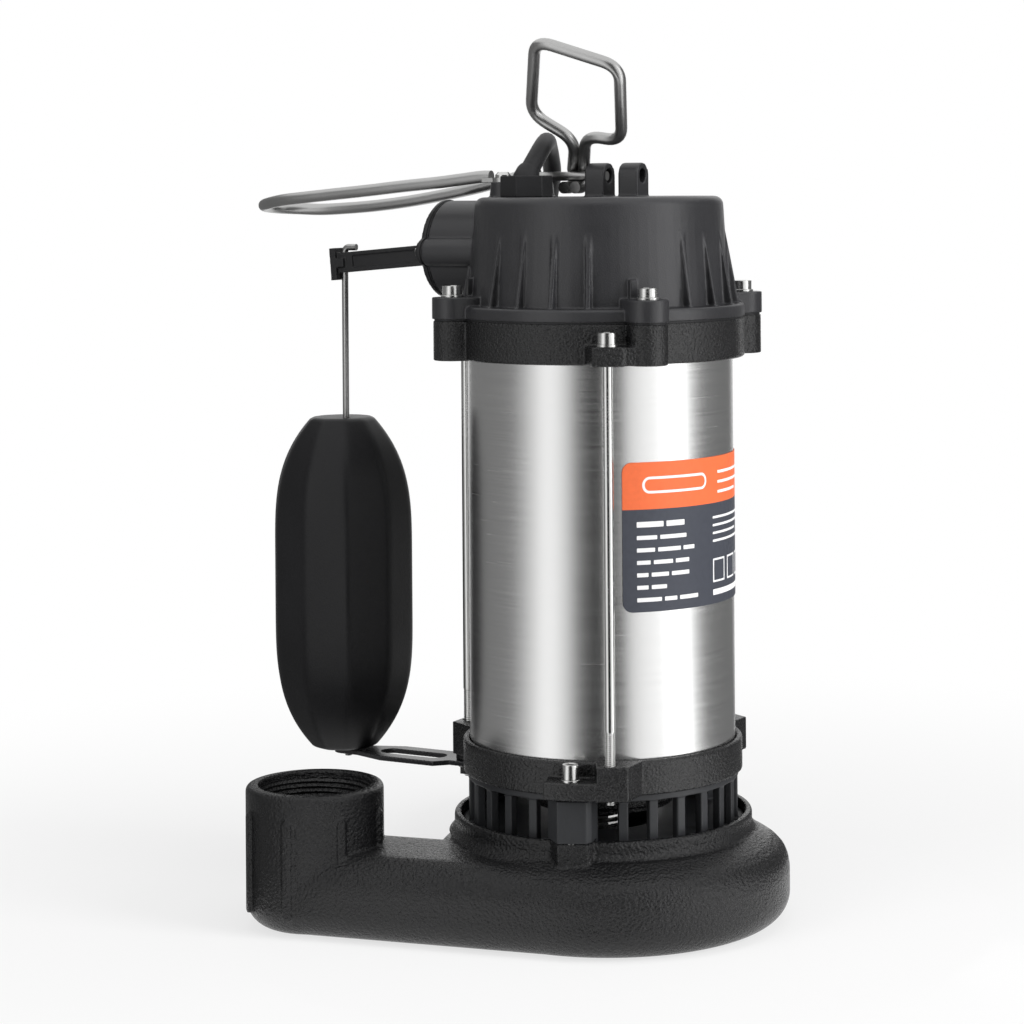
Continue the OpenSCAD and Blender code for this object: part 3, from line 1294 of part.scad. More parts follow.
volute();
cage();
impeller();
impeller_bolt();
shaft();
rotor_core();
seal_rotor();
seal_spring();
seal_seat();
lip_seal();
lower_flange();
lower_bearing();
lower_oring();
motor_tube();
nameplate();
stator_core();
stator_windings();
upper_flange();
upper_bearing();
upper_oring();
tie_rods();
tie_rod_washers();
volute_bolts();
cap_gasket();
cap();
cap_screws();
capacitor();
capacitor_clip();
terminal_block();
switch_cover();
cover_gasket();
cover_screws();
micro_switch();
switch_button();
lever_pin();
float_lever();
lever_boot();
float_rod();
float();
float_bracket();
bracket_nut();
guard_loop();
guard_screws();
bail_pin();
bail();
gland_nut();
gland_bush();
power_cord();
cord_coil();
cord_tail();
plug_body();
plug_blades();
coil_tie();
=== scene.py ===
"""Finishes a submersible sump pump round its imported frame.

Sizes are millimetres, as on a maker's drawing. Meshes are written in metres, in the frame of the
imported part: +Z up, the motor shaft on the Z axis, the discharge arm along -X.
"""

import json
import logging
import math
from dataclasses import dataclass, field
from enum import Enum
from typing import Iterable, Sequence

import bpy
from mathutils import Matrix, Vector


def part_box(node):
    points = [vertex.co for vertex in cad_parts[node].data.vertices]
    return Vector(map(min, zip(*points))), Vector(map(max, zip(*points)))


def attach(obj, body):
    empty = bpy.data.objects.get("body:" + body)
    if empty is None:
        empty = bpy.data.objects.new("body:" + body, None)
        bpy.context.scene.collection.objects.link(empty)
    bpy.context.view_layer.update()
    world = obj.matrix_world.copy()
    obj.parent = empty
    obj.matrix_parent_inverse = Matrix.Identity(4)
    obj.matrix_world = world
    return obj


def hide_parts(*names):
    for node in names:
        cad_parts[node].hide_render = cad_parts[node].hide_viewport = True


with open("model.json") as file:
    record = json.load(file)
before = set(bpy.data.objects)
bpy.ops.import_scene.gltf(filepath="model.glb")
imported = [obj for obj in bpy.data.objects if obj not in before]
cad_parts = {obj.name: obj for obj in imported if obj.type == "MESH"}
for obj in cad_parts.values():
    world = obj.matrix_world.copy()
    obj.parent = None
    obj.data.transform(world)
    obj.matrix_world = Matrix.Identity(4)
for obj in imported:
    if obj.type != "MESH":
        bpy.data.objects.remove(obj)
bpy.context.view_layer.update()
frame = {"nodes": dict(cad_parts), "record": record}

log = logging.getLogger("sump_pump")

MM = 0.001
IMAGE = 1024

Colour = tuple[float, float, float]
Point = tuple[float, float, float]
Area = tuple[float, float, float, float]


class Body(Enum):
    """Bodies that the new pieces ride on."""

    HOUSING = "housing"
    LEVER = "lever"
    ROD = "rod"
    FLOAT = "float_body"
    HANDLE = "handle"


class Effect(Enum):
    """What a surface carries besides its plain colour."""

    CAST = "cast_grain"
    MOULDED = "moulded_skin"
    BRUSHED = "brush_lines"
    FILM = "printed_film"


# ---- Frames ----

SWITCH_TURN = 170.0
CORD_TURN = 17.5
SWITCH = Matrix.Rotation(math.radians(SWITCH_TURN), 4, "Z")
CORD = Matrix.Rotation(math.radians(CORD_TURN), 4, "Z")


def moved(x: float, y: float, z: float) -> Matrix:
    """Returns a shift in millimetres."""
    return Matrix.Translation((x, y, z))


def at_angle(radius: float, angle: float, z: float = 0.0) -> Matrix:
    """Places a shape on a circle round the shaft.

    Args:
        radius: Radius of the circle, in millimetres.
        angle: Angle round the shaft, in degrees.
        z: Height, in millimetres.

    Returns:
        The matrix that turns the shape outwards and moves it there.
    """
    return Matrix.Rotation(math.radians(angle), 4, "Z") @ moved(radius, 0, z)


# ---- Shapes ----


@dataclass(frozen=True)
class Ring:
    """One loop of a turned shape: its radius, height and flats, and how far it lies off the axis."""

    r: float
    z: float
    flats: int = 0
    crisp: float = 200.0
    shift: float = 0.0

    def reach(self, angle: float) -> float:
        """Distance from the axis at an angle.

        Args:
            angle: Angle round the axis, in radians.

        Returns:
            The radius there. On a loop with flats, r is the distance to a flat.
        """
        if self.flats == 0:
            return self.r
        total = 0.0
        for k in range(self.flats):
            total += max(0.0, math.cos(angle - 2 * math.pi * k / self.flats)) ** self.crisp
        return self.r * total ** (-1 / self.crisp)


@dataclass
class Shape:
    """Points and faces of one or more closed forms, in millimetres."""

    points: list[Vector] = field(default_factory=list)
    faces: list[tuple[int, ...]] = field(default_factory=list)

    def grid(self, loops: Sequence[Sequence[Vector]], place: Matrix, ends: str = "capped") -> "Shape":
        """Adds a skin over loops of as many points each.

        Args:
            loops: The loops, in order.
            place: Where the shape goes.
            ends: "capped" closes both ends, and "joined" joins the last loop to the first.

        Returns:
            This shape.
        """
        base = len(self.points)
        sides = len(loops[0])
        for loop in loops:
            self.points.extend(place @ p for p in loop)
        rows = len(loops) if ends == "joined" else len(loops) - 1
        for i in range(rows):
            low = base + i * sides
            high = base + (i + 1) % len(loops) * sides
            for j in range(sides):
                k = (j + 1) % sides
                self.faces.append((low + j, low + k, high + k, high + j))
        if ends == "capped":
            last = base + (len(loops) - 1) * sides
            self.faces.append(tuple(range(base + sides - 1, base - 1, -1)))
            self.faces.append(tuple(range(last, last + sides)))
        return self

    def turned(self, rings: Sequence[Ring], place: Matrix = Matrix(), sides: int = 48,
               ends: str = "capped") -> "Shape":
        """Adds a turned form.

        Args:
            rings: Its loops, from the lower end up, or all round a closed section.
            place: Where the form goes.
            sides: Points on each loop.
            ends: As in grid.

        Returns:
            This shape.
        """
        loops = []
        for ring in rings:
            loop = []
            for j in range(sides):
                a = 2 * math.pi * j / sides
                reach = ring.reach(a)
                loop.append(Vector((reach * math.cos(a) + ring.shift, reach * math.sin(a), ring.z)))
            loops.append(loop)
        return self.grid(loops, place, ends)

    def swept(self, route: Sequence[Vector], radius: float | Sequence[float], sides: int = 20,
              place: Matrix = Matrix()) -> "Shape":
        """Adds a round bar along a route.

        Args:
            route: The bar's centreline.
            radius: Its radius, or one for each point.
            sides: Points round the bar.
            place: Where the bar goes.

        Returns:
            This shape.
        """
        last = len(route) - 1
        loops = []
        side = None
        for i, p in enumerate(route):
            ahead = (route[min(i + 1, last)] - route[max(i - 1, 0)]).normalized()
            if side is None:
                side = ahead.orthogonal()
            side = (side - side.dot(ahead) * ahead).normalized()
            across = ahead.cross(side)
            reach = radius if isinstance(radius, float) else radius[i]
            loops.append([p + reach * (math.cos(a) * side + math.sin(a) * across)
                          for a in (2 * math.pi * j / sides for j in range(sides))])
        return self.grid(loops, place)

    def threaded(self, root: float, crest: float, span: tuple[float, float], pitch: float,
                 back: float | None = None, place: Matrix = Matrix(), sides: int = 72) -> "Shape":
        """Adds a screw thread, on a bar or inside a sleeve.

        Args:
            root: Radius at the thread's root.
            crest: Radius at its crest, under the root's inside a sleeve.
            span: Heights of its two ends.
            pitch: Rise in one turn.
            back: Radius of the sleeve's plain outer wall, or None for a bar.
            place: Where the thread goes.
            sides: Points on each loop.

        Returns:
            This shape.
        """
        per_turn = 8
        low, high = span
        rows = max(2, round((high - low) / pitch * per_turn))
        loops = []
        for i in range(rows + 1):
            z = low + (high - low) * i / rows
            fade = min(1.0, (z - low) / pitch, (high - z) / pitch)
            loop = []
            for j in range(sides):
                a = 2 * math.pi * j / sides
                phase = ((z - low) / pitch - a / (2 * math.pi)) % 1.0
                height = max(0.0, 1 - abs(2 * phase - 1) * 1.25) * max(0.0, fade)
                reach = root + (crest - root) * height
                loop.append(Vector((reach * math.cos(a), reach * math.sin(a), z)))
            loops.append(loop)
        if back is None:
            return self.grid(loops, place)
        for z in (high, low):
            loops.append([Vector((back * math.cos(a), back * math.sin(a), z))
                          for a in (2 * math.pi * j / sides for j in range(sides))])
        return self.grid([list(reversed(loop)) for loop in loops], place, "joined")

    def object(self, name: str, smooth_deg: float = 32.0) -> bpy.types.Object:
        """Makes the Blender object, shaded smooth but for its sharp edges.

        Args:
            name: The object's name.
            smooth_deg: Largest angle between faces that is shaded smooth.

        Returns:
            The object, linked to the scene.
        """
        mesh = bpy.data.meshes.new(name)
        mesh.from_pydata([tuple(p * MM) for p in self.points], [], self.faces)
        mesh.validate()
        mesh.update()
        return placed(name, mesh, smooth_deg)


def placed(name: str, mesh: bpy.types.Mesh, smooth_deg: float = 32.0) -> bpy.types.Object:
    """Links a mesh to the scene as an object.

    Args:
        name: The object's name.
        mesh: Its mesh, in metres.
        smooth_deg: Largest angle between faces that is shaded smooth.

    Returns:
        The object.
    """
    piece = bpy.data.objects.new(name, mesh)
    bpy.context.scene.collection.objects.link(piece)
    mesh.shade_smooth()
    mesh.set_sharp_from_angle(angle=math.radians(smooth_deg))
    return piece


def softened(node: str, voxel: float, passes: int) -> bpy.types.Mesh:
    """Copies a CAD node as one skin whose edges and inner corners are eased, as a mould leaves them.

    Args:
        node: The CAD node.
        voxel: Size of the skin's faces, in millimetres.
        passes: Rounds of smoothing.

    Returns:
        A new mesh, in metres.
    """
    work = bpy.data.objects.new("work", frame["nodes"][node].data.copy())
    bpy.context.scene.collection.objects.link(work)
    skin = work.modifiers.new("skin", "REMESH")
    skin.mode = "VOXEL"
    skin.voxel_size = voxel * MM
    ease = work.modifiers.new("ease", "SMOOTH")
    ease.factor = 0.5
    ease.iterations = passes
    found = work.evaluated_get(bpy.context.evaluated_depsgraph_get())
    mesh = bpy.data.meshes.new_from_object(found)
    bpy.data.objects.remove(work)
    mesh.materials.clear()
    return mesh


# ---- Shader graphs ----


class Graph:
    """Short hand for one node tree."""

    def __init__(self, tree: bpy.types.NodeTree) -> None:
        """Keeps the tree."""
        self.tree = tree

    def add(self, kind: str, inputs: dict[str | int, object] | None = None,
            **settings: object) -> bpy.types.Node:
        """Adds a node.

        Args:
            kind: The node's type.
            inputs: Values or sockets for its inputs, by name or number.
            **settings: Values of its properties.

        Returns:
            The node.
        """
        node = self.tree.nodes.new(kind)
        for key, value in settings.items():
            setattr(node, key, value)
        for key, value in (inputs or {}).items():
            if isinstance(value, bpy.types.NodeSocket):
                self.tree.links.new(value, node.inputs[key])
            else:
                node.inputs[key].default_value = value
        return node

    def math(self, operation: str, *values: object) -> bpy.types.NodeSocket:
        """Adds a Math node and returns its output."""
        return self.add("ShaderNodeMath", dict(enumerate(values)), operation=operation).outputs[0]

    def noise(self, vector: bpy.types.NodeSocket, scale: object, detail: float,
              roughness: float = 0.5) -> bpy.types.NodeSocket:
        """Adds a Noise Texture and returns its factor."""
        inputs = {"Vector": vector, "Scale": scale, "Detail": detail, "Roughness": roughness}
        return self.add("ShaderNodeTexNoise", inputs).outputs[0]

    def spread(self, value: bpy.types.NodeSocket, low: float, high: float) -> bpy.types.NodeSocket:
        """Stretches a stretch of values over 0 to 1.

        Args:
            value: The values.
            low: The value that becomes 0.
            high: The value that becomes 1.

        Returns:
            The stretched values, held between 0 and 1.
        """
        inputs = {"Value": value, "From Min": low, "From Max": high}
        return self.add("ShaderNodeMapRange", inputs).outputs[0]


@dataclass(frozen=True)
class EffectGroups:
    """Builds each shared effect once, as a node group.

    Each takes Size in millimetres and gives Height for a bump and Mask for colour and roughness.
    """

    def named(self, effect: Effect) -> bpy.types.NodeTree:
        """Gives an effect's group, made on its first use.

        Args:
            effect: The effect.

        Returns:
            Its node group.
        """
        found = bpy.data.node_groups.get(effect.value)
        return found or {
            Effect.CAST: self.cast_grain,
            Effect.MOULDED: self.moulded_skin,
            Effect.BRUSHED: self.brush_lines,
            Effect.FILM: self.printed_film,
        }[effect]()

    def start(self, effect: Effect) -> tuple[Graph, bpy.types.Node, bpy.types.Node]:
        """Makes an empty group with the sockets that all effects share.

        Args:
            effect: The effect.

        Returns:
            Its graph, its input node and its output node.
        """
        tree = bpy.data.node_groups.new(effect.value, "ShaderNodeTree")
        tree.interface.new_socket("Size", in_out="INPUT", socket_type="NodeSocketFloat")
        tree.interface.new_socket("Height", in_out="OUTPUT", socket_type="NodeSocketFloat")
        tree.interface.new_socket("Mask", in_out="OUTPUT", socket_type="NodeSocketFloat")
        graph = Graph(tree)
        return graph, graph.add("NodeGroupInput"), graph.add("NodeGroupOutput")

    def per_metre(self, graph: Graph, entry: bpy.types.Node) -> bpy.types.NodeSocket:
        """Turns the Size input into a texture scale."""
        return graph.math("DIVIDE", 1 / MM, entry.outputs["Size"])

    def cast_grain(self) -> bpy.types.NodeTree:
        """Crinkled grain of enamel on a sand casting."""
        graph, entry, end = self.start(Effect.CAST)
        where = graph.add("ShaderNodeTexCoord").outputs["Object"]
        scale = self.per_metre(graph, entry)
        cells = graph.add("ShaderNodeTexVoronoi", {"Vector": where, "Scale": scale},
                          feature="SMOOTH_F1").outputs["Distance"]
        folds = graph.noise(where, scale, 3.0, 0.6)
        patches = graph.noise(where, 45.0, 2.0)
        height = graph.math("ADD", graph.math("MULTIPLY", cells, 0.55), folds)
        graph.tree.links.new(height, end.inputs["Height"])
        mask = graph.math("MULTIPLY_ADD", graph.spread(folds, 0.35, 0.65), 0.6,
                          graph.math("MULTIPLY", graph.spread(patches, 0.35, 0.65), 0.4))
        graph.tree.links.new(mask, end.inputs["Mask"])
        return graph.tree

    def moulded_skin(self) -> bpy.types.NodeTree:
        """Fine spark-eroded texture of a plastic mould."""
        graph, entry, end = self.start(Effect.MOULDED)
        where = graph.add("ShaderNodeTexCoord").outputs["Object"]
        grain = graph.noise(where, self.per_metre(graph, entry), 2.0, 0.6)
        clouds = graph.noise(where, 30.0, 3.0)
        graph.tree.links.new(grain, end.inputs["Height"])
        mask = graph.math("MULTIPLY_ADD", graph.spread(grain, 0.3, 0.7), 0.5,
                          graph.math("MULTIPLY", graph.spread(clouds, 0.35, 0.65), 0.5))
        graph.tree.links.new(mask, end.inputs["Mask"])
        return graph.tree

    def brush_lines(self) -> bpy.types.NodeTree:
        """Lines of a brush or a drawing die, all round the shaft and fine along it."""
        graph, entry, end = self.start(Effect.BRUSHED)
        where = graph.add("ShaderNodeTexCoord").outputs["Object"]
        long_lines = graph.add("ShaderNodeVectorMath", {0: where, 1: (0.004, 0.004, 1.0)},
                               operation="MULTIPLY").outputs[0]
        short_lines = graph.add("ShaderNodeVectorMath", {0: where, 1: (0.02, 0.02, 1.0)},
                                operation="MULTIPLY").outputs[0]
        scale = self.per_metre(graph, entry)
        fine = graph.noise(long_lines, scale, 3.0, 0.7)
        coarse = graph.noise(short_lines, graph.math("MULTIPLY", scale, 0.3), 2.0, 0.6)
        height = graph.math("ADD", fine, graph.math("MULTIPLY", coarse, 0.5))
        graph.tree.links.new(height, end.inputs["Height"])
        mask = graph.math("MULTIPLY_ADD", graph.spread(fine, 0.3, 0.7), 0.6,
                          graph.math("MULTIPLY", graph.spread(coarse, 0.3, 0.7), 0.4))
        graph.tree.links.new(mask, end.inputs["Mask"])
        return graph.tree

    def printed_film(self) -> bpy.types.NodeTree:
        """Slight orange peel of a laminated film."""
        graph, entry, end = self.start(Effect.FILM)
        where = graph.add("ShaderNodeTexCoord").outputs["Object"]
        peel = graph.noise(where, self.per_metre(graph, entry), 1.0)
        graph.tree.links.new(peel, end.inputs["Height"])
        graph.tree.links.new(graph.spread(peel, 0.3, 0.7), end.inputs["Mask"])
        return graph.tree


EFFECTS = EffectGroups()


@dataclass(frozen=True)
class Finish:
    """One finish: what it is made of and how its surface was left."""

    name: str
    tint: Colour
    roughness: float
    metallic: float = 0.0
    effect: Effect = Effect.MOULDED
    size: float = 0.35
    depth: float = 0.02
    tint_range: float = 0.15
    rough_range: float = 0.08
    specular: float = 0.5
    anisotropy: float = 0.0

    def material(self) -> bpy.types.Material:
        """Gives the finish's material, made on its first use.

        Returns:
            The material.
        """
        found = bpy.data.materials.get(self.name)
        return found or self.build()

    def build(self) -> bpy.types.Material:
        """Builds the material.

        Returns:
            A material whose colour, roughness and normal follow the effect's group.
        """
        material = bpy.data.materials.new(self.name)
        material.use_nodes = True
        graph = Graph(material.node_tree)
        shader = material.node_tree.nodes["Principled BSDF"]
        effect = graph.add("ShaderNodeGroup", node_tree=EFFECTS.named(self.effect))
        effect.inputs["Size"].default_value = self.size
        mask = effect.outputs["Mask"]
        tones = [tuple(c * (1 + side * self.tint_range) for c in self.tint) + (1.0,) for side in (-1, 1)]
        tone = graph.add("ShaderNodeMix", {0: mask, 6: tones[0], 7: tones[1]}, data_type="RGBA")
        graph.tree.links.new(tone.outputs[2], shader.inputs["Base Color"])
        rough = graph.add("ShaderNodeMapRange", {
            "Value": mask,
            "To Min": max(0.03, self.roughness - self.rough_range),
            "To Max": min(1.0, self.roughness + self.rough_range),
        })
        graph.tree.links.new(rough.outputs[0], shader.inputs["Roughness"])
        bump = graph.add("ShaderNodeBump", {"Height": effect.outputs["Height"], "Distance": self.depth * MM,
                                            "Strength": 1.0})
        graph.tree.links.new(bump.outputs[0], shader.inputs["Normal"])
        shader.inputs["Metallic"].default_value = self.metallic
        shader.inputs["Specular IOR Level"].default_value = self.specular
        shader.inputs["Anisotropic"].default_value = self.anisotropy
        if self.anisotropy > 0:
            tangent = graph.add("ShaderNodeTangent", direction_type="RADIAL", axis="Z")
            graph.tree.links.new(tangent.outputs[0], shader.inputs["Tangent"])
        return material


CAST_BLACK = Finish("black_enamelled_casting", (0.006, 0.006, 0.0065), 0.24, effect=Effect.CAST, size=1.2,
                    depth=0.7, tint_range=0.2, specular=0.48)
FLANGE_BLACK = Finish("black_enamelled_flange", (0.006, 0.006, 0.0065), 0.26, effect=Effect.CAST, size=1.0,
                      depth=0.5, tint_range=0.2, specular=0.6)
CAP_PLASTIC = Finish("moulded_cap_plastic", (0.021, 0.021, 0.023), 0.40, size=0.6, depth=0.07, specular=0.55)
BLACK_PLASTIC = Finish("moulded_black_plastic", (0.014, 0.014, 0.015), 0.42, size=0.5, depth=0.04,
                       specular=0.35)
FLOAT_PLASTIC = Finish("blow_moulded_plastic", (0.009, 0.009, 0.010), 0.42, size=0.9, depth=0.06,
                       tint_range=0.2, specular=0.28)
CAGE_PLASTIC = Finish("moulded_cage_plastic", (0.022, 0.023, 0.025), 0.46, size=0.6, depth=0.04,
                      specular=0.4)
STAINLESS = Finish("brushed_stainless_tube", (0.80, 0.80, 0.795), 0.24, metallic=1.0,
                   effect=Effect.BRUSHED, size=0.22, depth=0.0012, tint_range=0.04, rough_range=0.04,
                   anisotropy=0.7)
BRIGHT_STEEL = Finish("bright_zinc_steel", (0.70, 0.70, 0.69), 0.24, metallic=1.0, size=0.6, depth=0.001,
                      tint_range=0.06, rough_range=0.06)
WIRE_STEEL = Finish("drawn_steel_wire", (0.50, 0.50, 0.495), 0.34, metallic=1.0, size=0.7, depth=0.0003,
                    tint_range=0.06, rough_range=0.05)
BLACK_STEEL = Finish("black_oxide_steel", (0.022, 0.022, 0.024), 0.30, size=0.5, depth=0.01, specular=0.7)
RUBBER = Finish("black_rubber_jacket", (0.014, 0.014, 0.015), 0.50, size=0.7, depth=0.03, tint_range=0.2,
                specular=0.35)
ORANGE_FILM = Finish("orange_label_film", (0.70, 0.138, 0.048), 0.48, effect=Effect.FILM, size=2.0,
                     depth=0.004, tint_range=0.03, specular=0.2)
SLATE_FILM = Finish("slate_label_film", (0.050, 0.054, 0.067), 0.48, effect=Effect.FILM, size=2.0,
                    depth=0.004, tint_range=0.05, specular=0.2)
PRINT_WHITE = Finish("white_label_ink", (0.72, 0.72, 0.72), 0.5, effect=Effect.FILM, size=1.0, depth=0.002,
                     tint_range=0.02, specular=0.2)
COPPER = Finish("enamelled_copper", (0.46, 0.19, 0.07), 0.35, metallic=0.8, effect=Effect.BRUSHED, size=0.9,
                depth=0.2, tint_range=0.25)
LAMINATED = Finish("varnished_laminations", (0.28, 0.28, 0.29), 0.4, metallic=0.9, effect=Effect.BRUSHED,
                   size=0.6, depth=0.1, tint_range=0.2)
CERAMIC = Finish("ground_ceramic", (0.72, 0.69, 0.61), 0.3, size=0.3, depth=0.004, tint_range=0.04)
CARBON = Finish("lapped_carbon", (0.02, 0.02, 0.021), 0.3, size=0.3, depth=0.004)
LIGHT_PLASTIC = Finish("cream_plastic", (0.66, 0.61, 0.50), 0.45, size=0.5, depth=0.01, tint_range=0.05)
CAN_METAL = Finish("drawn_aluminium_can", (0.50, 0.51, 0.53), 0.32, metallic=1.0, effect=Effect.BRUSHED,
                   size=0.4, depth=0.01, tint_range=0.08)
BRASS = Finish("satin_brass", (0.70, 0.50, 0.20), 0.28, metallic=1.0, size=0.5, depth=0.006, tint_range=0.08)

SLOT_FINISH: dict[str, Finish] = {
    "cast_black": CAST_BLACK, "cage_plastic": CAGE_PLASTIC, "black_plastic": BLACK_PLASTIC,
    "stainless": STAINLESS, "bright_steel": BRIGHT_STEEL, "wire_steel": WIRE_STEEL,
    "black_steel": BLACK_STEEL, "label_film": ORANGE_FILM, "black_rubber": RUBBER,
    "impeller_plastic": CAGE_PLASTIC, "laminations": LAMINATED, "copper": COPPER, "ceramic": CERAMIC,
    "carbon": CARBON, "light_plastic": LIGHT_PLASTIC, "grey_metal": CAN_METAL, "blade_brass": BRASS,
}


# ---- Routes ----


def smooth_route(points: Sequence[Vector], steps: int) -> list[Vector]:
    """Draws a smooth curve through points.

    Args:
        points: The points.
        steps: Pieces between each two.

    Returns:
        Points along the curve.
    """
    last = len(points) - 1
    found = []
    for i in range(last):
        a, b, c, d = points[max(i - 1, 0)], points[i], points[i + 1], points[min(i + 2, last)]
        for k in range(steps):
            u = k / steps
            found.append(0.5 * (2 * b + (c - a) * u + (2 * a - 5 * b + 4 * c - d) * u ** 2
                                + (3 * b - a - 3 * c + d) * u ** 3))
    return found + [points[last]]


def eased_route(points: Sequence[Vector], reach: float, steps: int) -> list[Vector]:
    """Rounds the inner corners of a route.

    Args:
        points: The route's corners.
        reach: How far from a corner its rounding starts.
        steps: Pieces in each rounding.

    Returns:
        Points along the rounded route.
    """
    found = [points[0]]
    for back, p, ahead in zip(points, points[1:], points[2:]):
        a = p + min(reach, (back - p).length * 0.48) * (back - p).normalized()
        c = p + min(reach, (ahead - p).length * 0.48) * (ahead - p).normalized()
        for k in range(steps + 1):
            u = k / steps
            found.append((1 - u) ** 2 * a + 2 * u * (1 - u) * p + u ** 2 * c)
    return found + [points[-1]]


# ---- Sub-assemblies ----


class Assembly:
    """A group of pieces that are made and dressed together."""

    def fit(self, piece: bpy.types.Object, finish: Finish, slot: str, body: Body = Body.HOUSING,
            nodes: Iterable[str] = ()) -> bpy.types.Object:
        """Dresses a piece and fixes it to its body.

        Args:
            piece: The piece.
            finish: Its finish.
            slot: The record's material slot; not used.
            body: The body that it rides on.
            nodes: CAD nodes that it stands for.

        Returns:
            The piece.
        """
        if not piece.data.materials:
            piece.data.materials.append(finish.material())
        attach(piece, body.value)
        if nodes:
            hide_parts(*nodes)
        log.info("%s rides on %s", piece.name, body.value)
        return piece

    def soften(self, node: str, finish: Finish, slot: str, voxel: float, passes: int,
               body: Body = Body.HOUSING) -> bpy.types.Object:
        """Replaces a CAD node by its softened skin.

        Args:
            node: The CAD node.
            finish: The skin's finish.
            slot: The record's material slot.
            voxel: Size of the skin's faces, in millimetres.
            passes: Rounds of smoothing.
            body: The body that it rides on.

        Returns:
            The new piece.
        """
        piece = placed(f"{node}_skin", softened(node, voxel, passes), 60.0)
        return self.fit(piece, finish, slot, body, (node,))


